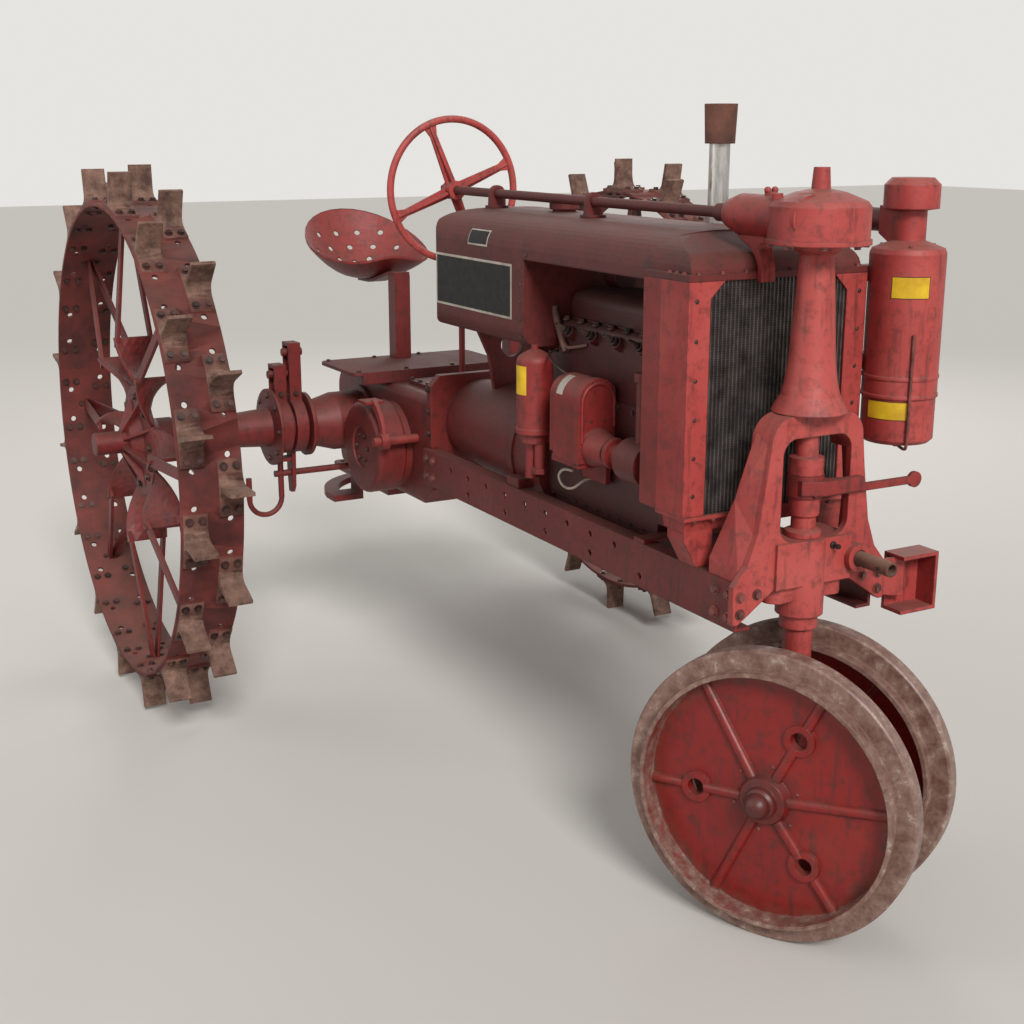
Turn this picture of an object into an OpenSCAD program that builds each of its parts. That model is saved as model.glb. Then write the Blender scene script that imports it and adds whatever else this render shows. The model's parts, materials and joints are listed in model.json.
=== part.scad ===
// Narrow-front row-crop tractor on steel wheels, about 1930s.
// X points forward, Y to the left, Z up. Every x below is measured from the rear axle.

/* [Stance] */
// Distance from the rear axle to the steering post
wheelbase = 1956; // [1800:1:2200]
// Half the rear track, measured to the middle of the rims
half_track = 862; // [760:1:1000]
// Front wheels as parked, turned to the left, in degrees
steer_rest = 28; // [0:1:40]

/* [Rear wheels] */
// Radius of the rear rim
rim_r = 686; // [600:1:760]
// Width of the rear rim
rim_w = 166; // [140:1:220]
// Thickness of the rear rim
rim_t = 9; // [6:0.5:14]
// Height of a lug above the rim
lug_h = 104; // [70:1:130]
// Width of a lug
lug_w = 64; // [50:1:76]
// Thickness of a lug's blade at its tip
lug_tip_t = 10; // [8:0.5:14]
// Half the length of a lug's foot
lug_foot = 75; // [60:1:90]
// Lugs in one row of a rear wheel
lugs_per_row = 16; // [12:1:18]
// Arms in a rear wheel's centre
arms = 8; // [6:1:10]
// Width of an arm's twisted blade
arm_w = 118; // [90:1:126]
// Thickness of an arm's blade
arm_t = 10; // [8:0.5:14]
// Width of the straps from the arms to the rim
strap_w = 30; // [22:1:40]
// Thickness of the straps
strap_t = 9; // [7:0.5:12]
// Radius of the rear axle shaft
axle_r = 28; // [22:1:34]
// How far the axle shaft stands out past the middle of the rim
axle_out = 136; // [110:1:180]

/* [Front wheels] */
// Radius of the front rim
front_rim_r = 283; // [250:1:310]
// Width of the front rim
front_rim_w = 100; // [80:1:120]
// Thickness of the front rim
front_rim_t = 10; // [7:0.5:14]
// Height of the guide band on the front rim
guide_h = 40; // [20:1:50]
// Width of the guide band
guide_w = 42; // [30:1:60]
// Half the front track, to the middle of the rims
front_half_track = 109; // [100:1:130]
// Radius of a front spindle
spindle_r = 20; // [16:1:24]
// Ribs pressed in a front wheel's disc
disc_ribs = 6; // [4:1:8]

/* [Frame] */
// Height of the rails' top faces
rail_top = 790; // [740:1:840]
// Depth of a rail
rail_d = 102; // [90:1:120]
// Half the distance between the rails' outer faces
rail_y = 181; // [176:1:200]
// Width of a rail's flanges
rail_flange = 40; // [30:1:44]
// Thickness of the rails
rail_t = 7; // [5:0.5:9]
// Rear end of the rails
rail_rear = 505; // [480:1:540]
// Spacing of the holes in the rails
rail_pitch = 105; // [90:1:110]
// Radius of the holes in the rails
rail_hole_r = 8; // [6:0.5:10]

/* [Pedestal and steering] */
// Thickness of the pedestal's front wall
ped_t = 16; // [12:1:22]
// Half the width of the pedestal's window
window_hw = 88; // [76:1:96]
// Radius of the upright steering shaft
shaft_r = 24; // [20:1:28]
// Sideways place of the long steering shaft
steer_y = -50; // [-70:1:-40]
// Radius of the long steering shaft
steer_shaft_r = 12; // [9:0.5:16]
// Radius of the steering wheel, to the middle of its rim
wheel_r = 193; // [170:1:220]
// Radius of the steering gear's round case
case_r = 100; // [85:1:115]
// Radius of the worm's barrel
worm_r = 42; // [34:1:46]

/* [Radiator] */
// Space between the steering post and the radiator's front
rad_gap = 106; // [98:1:140]
// Depth of the radiator
rad_depth = 98; // [80:1:120]
// Depth of the fan shroud
shroud_depth = 62; // [50:1:80]
// Half the width of the radiator
rad_hw = 230; // [222:1:240]
// Height of the core
core_h = 481; // [420:1:520]
// Width of the side plates' front flanges
side_flange = 54; // [40:1:60]

/* [Hood and fuel tank] */
// Rise of the hood's arch
hood_rise = 94; // [70:1:120]
// Half the width of the hood
hood_hw = 215; // [190:1:220]
// Thickness of the hood's sheet
hood_t = 2.5; // [1.5:0.5:4]
// Length of the fuel tank
tank_len = 520; // [440:1:600]
// Height of the fuel tank's straight sides
tank_side = 215; // [180:1:240]

/* [Engine] */
// Space from the engine's block to the fan shroud
fan_space = 90; // [84:1:120]
// Length of the engine's block
block_len = 490; // [440:1:520]
// Half the width of the block
block_hw = 118; // [104:1:120]
// Height of the block
block_h = 350; // [320:1:370]
// Height of the cylinder head
head_h = 83; // [70:1:90]
// Radius of the exhaust pipe
pipe_r = 24; // [20:1:28]
// Radius of the oil filter
filter_r = 45; // [36:1:50]

/* [Air cleaner] */
// Radius of the air cleaner
cleaner_r = 80; // [66:1:81]
// Height of the air cleaner's body
cleaner_h = 417; // [360:1:450]

/* [Driver's place] */
// Radius of the seat pan
seat_r = 208; // [190:1:225]
// Height of the seat pan's bottom above the ground
seat_z = 1200; // [1150:1:1250]
// Thickness of the seat pan
seat_t = 4; // [3:0.5:6]

/* [Hidden] */
$fn = 64;

RED = "#8c3a38";
DARK = "#4a2b28";
IRON = "#5a4a42";

// Clearance of a curved or running seat
seat_gap = 0.3;

// Wheels and overall reach
tip_r = rim_r + lug_h;
axle_z = tip_r;
lug_step = 360 / lugs_per_row;
guide_r = front_rim_r + guide_h;
front_z = guide_r;
post_x = wheelbase;
rear_reach = tip_r;
front_reach = post_x + front_half_track * sin(steer_rest) + guide_r * cos(steer_rest)
    + guide_w / 2 * sin(steer_rest);
middle_x = (front_reach - rear_reach) / 2;

// Lines that several pieces share, from the post backwards
ped_lead = 34;
rail_lead = 18;
ped_front = post_x + ped_lead;
rail_front = post_x + rail_lead;
rad_front = post_x - rad_gap;
rad_back = rad_front - rad_depth;
seam_x = rad_back - shroud_depth;
block_front = seam_x - fan_space;
block_back = block_front - block_len;
head_set = 50;
head_back = block_back + head_set;
tank_gap = 8;
tank_front = head_back - tank_gap;
tank_back = tank_front - tank_len;
bell_back = 500;

// Heights that several pieces share, from the rails upwards
rail_bottom = rail_top - rail_d;
block_low = rail_top + 10;
head_low = block_low + block_h;
head_top = head_low + head_h;
rad_low = rail_top + 115;
rad_high = rad_low + core_h;
hood_low = rad_high - 6;
hood_top = hood_low + hood_rise;
tank_low = hood_low - tank_side;
steer_z = hood_top + 37;
fan_z = rail_top + 360;

module on_tractor() { translate([-middle_x, 0, 0]) children(); }
module along_x(at, r, len, r2 = -1) {
    translate(at) rotate([0, 90, 0]) cylinder(r1 = r, r2 = r2 < 0 ? r : r2, h = len);
}
module along_y(at, r, len, r2 = -1) {
    translate(at) rotate([-90, 0, 0]) cylinder(r1 = r, r2 = r2 < 0 ? r : r2, h = len);
}
module box(x, y, z) {
    translate([x[0], y[0], z[0]]) cube([x[1] - x[0], y[1] - y[0], z[1] - z[0]]);
}
// A flat outline drawn in (y, z), given a thickness along x
module profile_x(x0, x1) {
    translate([x0, 0, 0]) rotate([90, 0, 90]) linear_extrude(x1 - x0) children();
}
// A flat outline drawn in (x, z), given a thickness along y
module profile_y(y0, y1) {
    translate([0, y1, 0]) rotate([90, 0, 0]) linear_extrude(y1 - y0) children();
}
module both_sides() { children(); mirror([0, 1, 0]) children(); }

// Points of an arc about a centre, from one angle to another
function arc(at, r, from, to, n = 8) =
    [for (k = [0:n]) let (a = from + (to - from) * k / n) [at[0] + r * cos(a), at[1] + r * sin(a)]];

// Half-oval arch, blunter than an ellipse, standing on its base line
module arch(hw, base, top, n = 12) {
    polygon([for (k = [0:2 * n]) let (a = 180 * k / (2 * n))
        [hw * sign(cos(a)) * pow(abs(cos(a)), 0.62), base + (top - base) * pow(abs(sin(a)), 0.72)]]);
}
// Rectangle with four round corners
module round_box(x, y, r) {
    polygon(concat(arc([x[1] - r, y[1] - r], r, 0, 90), arc([x[0] + r, y[1] - r], r, 90, 180),
                   arc([x[0] + r, y[0] + r], r, 180, 270), arc([x[1] - r, y[0] + r], r, 270, 360)));
}

// Rails: channels with their webs outside and two rows of holes
rail_first_hole = 175;
rail_low_first = 280;
module rail(side) {
    web_y = side * rail_y;
    inner_y = web_y - side * rail_flange;
    hollow_y = web_y - side * rail_t;
    difference() {
        box([rail_rear, rail_front], [min(web_y, inner_y), max(web_y, inner_y)], [rail_bottom, rail_top]);
        box([rail_rear - 1, rail_front + 1], [min(hollow_y, inner_y - side), max(hollow_y, inner_y - side)],
            [rail_bottom + rail_t, rail_top - rail_t]);
        for (k = [0:8])
            along_y([rail_rear + rail_first_hole + k * rail_pitch, web_y - rail_t * 2, rail_bottom + 0.7 * rail_d],
                    rail_hole_r, rail_t * 4);
        for (k = [0:4])
            along_y([rail_rear + rail_low_first + k * 2 * rail_pitch, web_y - rail_t * 2, rail_bottom + 0.25 * rail_d],
                    rail_hole_r, rail_t * 4);
    }
}
module frame_rail_right() { color(DARK) on_tractor() rail(-1); }
module frame_rail_left() { color(DARK) on_tractor() rail(1); }

// Front pedestal: one casting. A front wall with a tall window, an arch that carries the post, side walls that
// spread back to the rails, and a thick chest below the window with the lower bearing under it.
ped_top = rail_top + 338;
ped_hw = 118;
ped_round = 56;
sill_z = rail_top + 76;
window_top = rail_top + 291;
window_round = 34;
waist_z = rail_top + 100;
waist_hw = 145;
foot_hw = 200;
foot_low = rail_top - 81;
foot_lip = 14;
chest_hw = 98;
chest_low = rail_top - 20;
chest_back = ped_front - 100;
chest_bulge = 8;
crown_back = post_x - 31;
wall_t = 14;
bearing_r = 50;
bearing_low = rail_top - 90;
ear_y = 68;
ear_r = 30;
ear_low = rail_top - 55;
crank_y = 108;
crank_z = rail_top + 25;
crank_r = 17;
crank_reach = 105;
crank_boss_r = 30;

module pedestal_outline() {
    polygon(concat(
        arc([ped_hw - ped_round, ped_top - ped_round], ped_round, 0, 90),
        arc([-ped_hw + ped_round, ped_top - ped_round], ped_round, 90, 180),
        [[-ped_hw - 8, ped_top - 120], [-waist_hw, waist_z], [-waist_hw - 22, waist_z - 60],
         [-foot_hw, rail_top], [-foot_hw, foot_low], [-foot_hw + foot_lip, foot_low], [-chest_hw, chest_low],
         [chest_hw, chest_low], [foot_hw - foot_lip, foot_low], [foot_hw, foot_low], [foot_hw, rail_top],
         [waist_hw + 22, waist_z - 60], [waist_hw, waist_z], [ped_hw + 8, ped_top - 120]]));
}
module pedestal_window() { round_box([-window_hw, window_hw], [sill_z, window_top], window_round); }
// Corners of a side wall, front then back, as [x, y, z]
wall_corners = [[rail_front, ped_hw, ped_top - ped_round], [rail_front, ped_hw + 8, ped_top - 120],
                [rail_front, waist_hw, waist_z], [rail_front, foot_hw - 22, rail_top],
                [post_x - 20, ped_hw, ped_top - 40], [post_x - 39, ped_hw + 32, ped_top - 177],
                [post_x - 79, foot_hw - 22, ped_top - 305], [post_x - 79, foot_hw - 22, rail_top]];
module wall_piece(corners) {
    hull() for (k = corners) translate(wall_corners[k] - [0, wall_t, 0]) cube([1, wall_t, 1]);
}
module lower_bearing() {
    translate([post_x, 0, bearing_low]) cylinder(r = bearing_r, h = sill_z - bearing_low);
    both_sides() {
        translate([post_x, ear_y, ear_low]) cylinder(r = ear_r, h = chest_low - ear_low + 1);
        box([post_x - ear_r + 2, post_x + ear_r - 2], [0, ear_y], [ear_low, chest_low + 1]);
    }
}
// Outboard bracket on the left foot, a short channel that a mounted tool's frame bolts to
bracket_y = [236, 336];
bracket_z = [rail_top - 122, rail_top + 7];
bracket_x = [post_x - 6, post_x + 54];
bracket_t = 8;
module outboard_bracket() {
    difference() {
        box(bracket_x, bracket_y, bracket_z);
        box([bracket_x[0] + bracket_t, bracket_x[1] + 1], [bracket_y[0] - 1, bracket_y[1] - bracket_t],
            [bracket_z[0] + bracket_t, bracket_z[1] - bracket_t]);
    }
    profile_x(rail_front, rail_front + bracket_t)
        polygon([[foot_hw - 1, rail_top], [foot_hw - 1, foot_low + 4], [bracket_y[0] + 30, bracket_z[0] + 30],
                 [bracket_y[0] + 30, rail_top]]);
}
module front_pedestal() {
    color(RED) on_tractor() difference() {
        union() {
            profile_x(rail_front, ped_front) difference() { pedestal_outline(); pedestal_window(); }
            intersection() {
                profile_x(crown_back, rail_front + 1) difference() { pedestal_outline(); pedestal_window(); }
                box([crown_back - 1, ped_front], [-foot_hw, foot_hw], [window_top - window_round, ped_top + 1]);
            }
            both_sides() { wall_piece([0, 1, 2, 4, 5]); wall_piece([2, 3, 5, 6, 7]); }
            box([chest_back, ped_front + chest_bulge], [-chest_hw, chest_hw], [chest_low, sill_z]);
            lower_bearing();
            along_x([rail_front, crank_y, crank_z], crank_boss_r, ped_front + 24 - rail_front);
            outboard_bracket();
        }
        translate([post_x, 0, bearing_low - 1]) cylinder(r = shaft_r + seat_gap, h = ped_top + 2 - bearing_low);
        along_x([chest_back + 30, crank_y, crank_z], crank_r + seat_gap, ped_front + 25 - chest_back - 30);
    }
}

// Steering post: the tapered column that carries the gear case, flared into the pedestal's arch
post_flare = [[78, 0], [70, 16], [60, 34], [54, 56], [47.5, 102]];
post_high_r = 34;
post_head_r = 46;
post_head_h = 12;
post_h = 333;
case_floor = ped_top + post_h;
module steering_post() {
    color(RED) on_tractor() translate([post_x, 0, ped_top])
        rotate_extrude() polygon(concat([[0, 0]], post_flare,
            [[post_high_r, post_h - 20], [post_head_r, post_h - post_head_h], [post_head_r, post_h], [0, post_h]]));
}

// Steering gear case: a round domed case on the post, the worm's barrel beside it, and the brace to the radiator
worm_back = post_x - 211;
worm_front = post_x + 29;
worm_nose = 35;
worm_nose_r = 31;
worm_cap_r = 47;
worm_cap_t = 10;
worm_nut_r = 22;
worm_nut_t = 24;
case_flange_t = 10;
case_wall = 73;
dome_h = 33;
stub_r = 19;
stub_top_r = 16;
stub_h = 41;
// The case's outline as [radius, height above its floor]
case_outline = [[0, 0], [case_r + 4, 0], [case_r + 4, case_flange_t], [case_r, case_flange_t], [case_r, case_wall],
                [case_r - 8, case_wall + 10], [case_r - 50, case_wall + dome_h - 6], [stub_r, case_wall + dome_h],
                [stub_top_r, case_wall + dome_h + stub_h], [0, case_wall + dome_h + stub_h]];
brace_t = 34;
brace_y = steer_y + 4;
module steering_brace() {
    foot_front = rad_front + 14;
    profile_y(brace_y - brace_t / 2, brace_y + brace_t / 2)
        polygon([[rad_front - 80, steer_z - 31], [rad_front - 60, steer_z - 50], [rad_front - 32, steer_z - 62],
                 [rad_front - 12, steer_z - 80], [rad_front, steer_z - 100], [rad_front, rad_high - 6],
                 [foot_front, rad_high - 6], [foot_front, steer_z - 103], [foot_front - 6, steer_z - 83],
                 [foot_front - 14, steer_z - 66], [foot_front - 9, steer_z - 56], [foot_front + 3, case_floor - 4],
                 [foot_front + 3, steer_z - 31]]);
}
module wing_cap() {
    translate([post_x - 90, steer_y, steer_z + worm_r - 3]) {
        cylinder(r = 13, h = 9);
        both_sides() translate([0, 9, 12]) sphere(r = 7);
    }
}
module steering_gear_case() {
    color(RED) on_tractor() difference() {
        union() {
            translate([post_x, 0, case_floor]) rotate_extrude() polygon(case_outline);
            along_x([worm_back, steer_y, steer_z], worm_nose_r, worm_nose, worm_r);
            along_x([worm_back + worm_nose, steer_y, steer_z], worm_r, worm_front - worm_back - worm_nose);
            along_x([worm_front - 1, steer_y, steer_z], worm_cap_r, worm_cap_t + 1);
            translate([worm_front + worm_cap_t - 1, steer_y, steer_z]) rotate([0, 90, 0])
                cylinder(r = worm_nut_r, h = worm_nut_t + 1, $fn = 6);
            translate([post_x - 45, -70, case_floor + case_wall]) cylinder(r = 11, h = 24);
            wing_cap();
            steering_brace();
        }
        along_x([worm_back - 1, steer_y, steer_z], steer_shaft_r + seat_gap, worm_nose + 6);
    }
}

// Radiator
core_inset = 6;
side_t = 8;
side_in = rad_hw - side_t;
top_flange_t = 14;
module radiator_core() {
    color(IRON) on_tractor() box([rad_back + 12, rad_front - core_inset], [-side_in, side_in], [rad_low, rad_high]);
}
top_tank_hw = rad_hw - 12;
module radiator_top_tank() {
    flange_top = rad_high + top_flange_t;
    color(RED) on_tractor() {
        box([seam_x, rad_front], [-rad_hw, rad_hw], [rad_high, flange_top]);
        intersection() {
            profile_x(seam_x, rad_front) arch(top_tank_hw, flange_top - 1, hood_top - 3);
            profile_y(-rad_hw, rad_hw)
                polygon(concat([[seam_x, flange_top - 1]], arc([rad_front - 60, flange_top - 10], 52, 10, 75, 6),
                               [[seam_x, hood_top - 3]]));
        }
    }
}
bottom_tank_h = 36;
leg_w = 40;
module radiator_bottom_tank() {
    color(RED) on_tractor() {
        profile_y(-rad_hw + 14, rad_hw - 14)
            polygon([[rad_back + 6, rad_low - 8], [rad_front - 6, rad_low - 8], [rad_front - 14, rad_low - bottom_tank_h],
                     [rad_back + 14, rad_low - bottom_tank_h]]);
        box([rad_back, rad_front + 6], [-rad_hw, rad_hw], [rad_low - 8, rad_low]);
        both_sides() profile_x(rad_back + 24, rad_front - 14)
            polygon([[-rail_y, rail_top], [-rail_y + leg_w, rail_top], [-rail_y + leg_w, rad_low - bottom_tank_h + 1],
                     [-rad_hw + 16, rad_low - bottom_tank_h + 1], [-rad_hw + 16, rad_low - bottom_tank_h - 20]]);
    }
}
flange_t = 6;
gusset = 34;
module radiator_sides() {
    color(RED) on_tractor() both_sides() {
        box([rad_back, rad_front], [-rad_hw, -side_in], [rad_low, rad_high]);
        profile_x(rad_front - flange_t, rad_front)
            polygon([[-rad_hw, rad_low], [-rad_hw + side_flange, rad_low], [-rad_hw + side_flange, rad_high - gusset],
                     [-rad_hw + side_flange + gusset, rad_high], [-rad_hw, rad_high]]);
    }
}
shroud_hole_r = 205;
shroud_lip = 12;
module fan_shroud() {
    color(DARK) on_tractor() difference() {
        union() {
            box([rad_back - 8, rad_back], [-rad_hw, rad_hw], [rad_low, rad_high]);
            box([seam_x, rad_back - 8], [-rad_hw, rad_hw], [rad_low, rad_high]);
        }
        along_x([seam_x - 1, 0, fan_z], shroud_hole_r, rad_back - seam_x + 2);
        both_sides() for (z = [[rad_low - 1, rad_low + 60], [rad_high - 60, rad_high + 1]])
            box([seam_x - 1, rad_back - 8], [-rad_hw + shroud_lip, -120], z);
    }
}

// Hood: a thin arched sheet from the tank to the radiator, with rolled lower edges
pipe_x = block_front - 177;
pipe_y = 150;
pipe_hole_r = 34;
roll_r = 4;
module hood() {
    color(DARK) on_tractor() difference() {
        union() {
            difference() {
                profile_x(tank_front, seam_x) arch(hood_hw, hood_low, hood_top);
                profile_x(tank_front - 1, seam_x + 1) arch(hood_hw - hood_t, hood_low - 4, hood_top - hood_t);
            }
            both_sides() along_x([tank_front, hood_hw - roll_r, hood_low], roll_r, seam_x - tank_front);
        }
        translate([pipe_x, pipe_y, hood_low - 80]) cylinder(r = pipe_hole_r, h = 300);
    }
}
// Fuel tank: the hood's arch on straight sides, with round lower corners and a round rear end
tank_corner = 45;
tank_end_round = 62;
module tank_section() {
    arch(hood_hw, hood_low, hood_top);
    polygon(concat([[hood_hw, hood_low + 0.01]], [[-hood_hw, hood_low + 0.01]],
                   arc([-hood_hw + tank_corner, tank_low + tank_corner], tank_corner, 180, 270),
                   arc([hood_hw - tank_corner, tank_low + tank_corner], tank_corner, 270, 360)));
}
module fuel_tank() {
    color(DARK) on_tractor() intersection() {
        profile_x(tank_back, tank_front) tank_section();
        translate([0, 0, tank_low - 1]) linear_extrude(tank_side + hood_rise + 2)
            polygon(concat([[tank_front + 1, -hood_hw - 1], [tank_front + 1, hood_hw + 1]],
                           arc([tank_back + tank_end_round, hood_hw + 1 - tank_end_round], tank_end_round, 90, 180),
                           arc([tank_back + tank_end_round, -hood_hw - 1 + tank_end_round], tank_end_round, 180, 270)));
        profile_y(-hood_hw - 1, hood_hw + 1)
            polygon(concat([[tank_front + 1, tank_low - 1], [tank_front + 1, hood_top + 1]],
                           arc([tank_back + tank_end_round, hood_top + 1 - tank_end_round], tank_end_round, 90, 180),
                           [[tank_back, tank_low + 30], [tank_back + 18, tank_low - 1]]));
    }
}
cap_r = 38;
cap_y = 20;
module fuel_cap() {
    color(RED) on_tractor() difference() {
        translate([tank_front - 205, cap_y, 0]) {
            translate([0, 0, hood_top - 20]) cylinder(r = cap_r - 8, h = 32);
            translate([0, 0, hood_top + 6]) cylinder(r = cap_r, h = 20);
            translate([0, 0, hood_top + 26]) cylinder(r1 = cap_r, r2 = 20, h = 8);
        }
        profile_x(tank_back, tank_front) arch(hood_hw, hood_low, hood_top);
    }
}
// Bearings of the long steering shaft: forked brackets on the tank and the hood
support_w = 48;
support_t = 14;
module shaft_supports() {
    color(DARK) on_tractor() difference() {
        for (x = [tank_back + 74, tank_front + 40]) {
            profile_x(x, x + support_t)
                polygon(concat([[steer_y - support_w / 2, hood_top - 8], [steer_y + support_w / 2, hood_top - 8]],
                               arc([steer_y, steer_z], steer_shaft_r + 10, 0, 180)));
            box([x - 14, x + support_t + 14], [steer_y - support_w / 2, steer_y + support_w / 2],
                [hood_top - 8, hood_top + 6]);
        }
        along_x([tank_back, steer_y, steer_z], steer_shaft_r + seat_gap, tank_len + 200);
        profile_x(tank_back, rad_back) arch(hood_hw, hood_low, hood_top);
    }
}

// Engine: block with hand-hole covers on its side, head with plug bosses, rounded valve cover
cover_n = 2;
cover_t = 6;
plug_n = 4;
plug_r = 15;
module engine_block() {
    color(DARK) on_tractor() {
        box([block_back, block_front], [-block_hw, block_hw], [block_low, head_low]);
        profile_x(head_back, block_front)
            round_box([-block_hw, block_hw], [head_low - 40, head_top], 22);
        for (k = [0:cover_n - 1]) profile_y(-block_hw - cover_t, -block_hw)
            round_box([block_back + 60 + k * 190, block_back + 215 + k * 190], [block_low + 130, block_low + 270], 18);
        for (k = [0:plug_n - 1])
            translate([head_back + 65 + k * 105, -block_hw + 6, head_top - 34]) rotate([60, 0, 0])
                cylinder(r = plug_r, h = 22);
    }
}
cover_hw = 92;
valve_cover_h = 76;
breather_r = 33;
module valve_cover() {
    cover_x = [head_back + 12, block_front - 24];
    color(DARK) on_tractor() {
        box(cover_x, [-cover_hw - 6, cover_hw + 6], [head_top, head_top + 6]);
        intersection() {
            profile_x(cover_x[0] + 4, cover_x[1] - 4) union() {
                arch(cover_hw, head_top + 30, head_top + valve_cover_h);
                translate([-cover_hw, head_top + 5]) square([2 * cover_hw, 25.01]);
            }
            profile_y(-cover_hw - 1, cover_hw + 1)
                polygon(concat([[cover_x[0] + 4, head_top]],
                               arc([cover_x[0] + 34, head_top + valve_cover_h - 29], 30, 180, 90, 5),
                               arc([cover_x[1] - 34, head_top + valve_cover_h - 29], 30, 90, 0, 5),
                               [[cover_x[1] - 4, head_top]]));
        }
        along_x([cover_x[0] + 36, 10, head_top + valve_cover_h + breather_r - 4], breather_r, 52);
    }
}
pan_flange = 8;
module oil_pan() {
    color(DARK) on_tractor() {
        box([block_back + 6, block_front - 4], [-block_hw + 4, block_hw - 4], [block_low - pan_flange, block_low]);
        profile_x(block_back + 20, block_front - 14)
            polygon(concat([[108, block_low - pan_flange + 1], [-108, block_low - pan_flange + 1]],
                           arc([-62, block_low - 118], 42, 190, 270, 4), arc([62, block_low - 118], 42, 270, 350, 4)));
    }
}
// Front cover over the timing gears, with the crank's bearing, the fan's bearing and the magneto drive's ear
cover_d = 50;
ear_x = block_front - 34;
drive_y = -171;
drive_z = block_low + 168;
drive_r = 50;
filler_r = 13;
filler_top = block_low + 363;
module timing_outline() {
    polygon(concat(arc([0, fan_z - 40], 62, 20, 160), [[-block_hw, drive_z + 40], [-block_hw, block_low + 20]],
                   arc([0, block_low + 40], 80, 205, 335), [[block_hw, block_low + 20], [block_hw, drive_z + 40]]));
}
module timing_cover() {
    color(RED) on_tractor() {
        profile_x(block_front, block_front + cover_d) intersection() {
            timing_outline();
            translate([-block_hw, block_low]) square([2 * block_hw, fan_z - block_low + 60]);
        }
        along_x([ear_x, drive_y, drive_z], drive_r, block_front + cover_d - ear_x);
        box([block_front, block_front + cover_d], [drive_y, -block_hw + 1], [drive_z - 44, drive_z + 44]);
        along_x([block_front + cover_d - 1, 0, block_low + 60], 58, 17);
        along_x([block_front + cover_d + 15, 0, block_low + 60], 26, 30);
        translate([block_front + 12, drive_y - 4, drive_z + 40]) cylinder(r = filler_r, h = filler_top - drive_z - 40);
        translate([block_front + 12, drive_y - 4, filler_top - 14]) cylinder(r = filler_r + 5, h = 20);
        box([block_front, block_front + 40], [-rail_y, rail_y], [rail_top, block_low]);
    }
}
// Magneto: arched coil housing over the armature's body, its coupling to the drive, and the shelf it stands on
mag_y = drive_y;
mag_back = ear_x - 276;
mag_body = 116;
mag_r = 54;
mag_low = drive_z - 36;
mag_high = drive_z + 106;
module arched(hw, at_y, low, high) {
    translate([at_y, 0]) union() {
        translate([-hw, low]) square([2 * hw, high - low]);
        translate([0, high]) circle(r = hw);
    }
}
module magneto() {
    coupling_x = mag_back + mag_body + 22;
    color(RED) on_tractor() difference() {
        union() {
            profile_x(mag_back, mag_back + 22) arched(mag_r - 6, mag_y, mag_low + 10, mag_high);
            profile_x(mag_back + 21, mag_back + mag_body) arched(mag_r - 2, mag_y, mag_low, mag_high);
            profile_x(mag_back + mag_body - 1, coupling_x) arched(mag_r, mag_y, mag_low, mag_high);
            along_x([coupling_x - 1, mag_y, drive_z], 46, 60, 32);
            along_x([coupling_x + 58, mag_y, drive_z], 24, ear_x - coupling_x - 58);
            along_x([coupling_x + 70, mag_y, drive_z], 36, 14);
            box([mag_back + 10, coupling_x - 6], [mag_y - 48, -block_hw - cover_t - seat_gap], [mag_low - 12, mag_low + 1]);
            box([mag_back + 20, coupling_x - 16], [-block_hw - cover_t - 14, -block_hw - cover_t - seat_gap],
                [mag_low - 60, mag_low]);
        }
        box([mag_back - 1, ear_x + 1], [-block_hw - cover_t - seat_gap, 0], [block_low, head_top]);
    }
}
// Oil filter: a canister with a domed top on a cast base, with two pipes below it
filter_x = block_back + 54;
filter_y = -188;
filter_low = block_low + 158;
filter_h = 178;
module oil_filter() {
    color(RED) on_tractor() difference() {
        union() {
            translate([filter_x, filter_y, filter_low]) rotate_extrude()
                polygon(concat([[0, 0], [filter_r + 2, 0], [filter_r + 2, 12], [filter_r, 14]],
                               arc([filter_r - 22, filter_h - 4], 22, 0, 65, 5),
                               [[14, filter_h + 26], [9, filter_h + 27], [9, filter_h + 38], [0, filter_h + 38]]));
            translate([filter_x, filter_y, filter_low - 24]) cylinder(r = 34, h = 25);
            translate([filter_x - 14, filter_y, filter_low - 116]) cylinder(r = 16, h = 93);
            translate([filter_x + 20, filter_y + 4, filter_low - 92]) cylinder(r = 14, h = 69);
            translate([filter_x + 20, filter_y + 4, filter_low - 100]) cylinder(r = 20, h = 14, $fn = 6);
            box([filter_x - 26, filter_x + 26], [filter_y + 20, -block_hw], [filter_low - 24, filter_low + 30]);
        }
        box([block_back, block_front], [-block_hw - cover_t - seat_gap, 0], [block_low + 129, block_low + 271]);
    }
}
// Manifolds on the left: exhaust log with four branches, the elbow under the stack, intake pipe and carburettor
man_y = 166;
man_z = head_low + 6;
man_r = 34;
port_n = 4;
pipe_low = head_low + 78;
carb_z = head_low - 92;
module exhaust_manifold() {
    ports_x = [for (k = [0:port_n - 1]) head_back + 45 + k * 112];
    color(IRON) on_tractor() {
        along_x([ports_x[0] - 34, man_y, man_z], man_r, ports_x[port_n - 1] - ports_x[0] + 68);
        for (x = ports_x) {
            along_y([x, block_hw, man_z], 24, man_y - block_hw);
            profile_y(block_hw, block_hw + 10) round_box([x - 42, x + 42], [man_z - 24, man_z + 24], 12);
        }
        translate([pipe_x, pipe_y, man_z]) cylinder(r = 29, h = pipe_low - man_z - 14);
        translate([pipe_x, pipe_y, pipe_low - 15]) cylinder(r = pipe_y - block_hw - 0.5, h = 15);
        translate([pipe_x - 60, man_y, carb_z + 40]) cylinder(r = 22, h = man_z - carb_z - 40);
        translate([pipe_x - 60, man_y, carb_z - 26]) cylinder(r = 34, h = 70);
        translate([pipe_x - 60, man_y, carb_z - 74]) cylinder(r1 = 26, r2 = 34, h = 49);
        along_x([pipe_x - 60 - 78, man_y, carb_z + 12], 25, 78);
    }
}
can_z = hood_top + 172;
can_h = 88;
can_t = 2;
can_r = 34.5;
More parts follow.
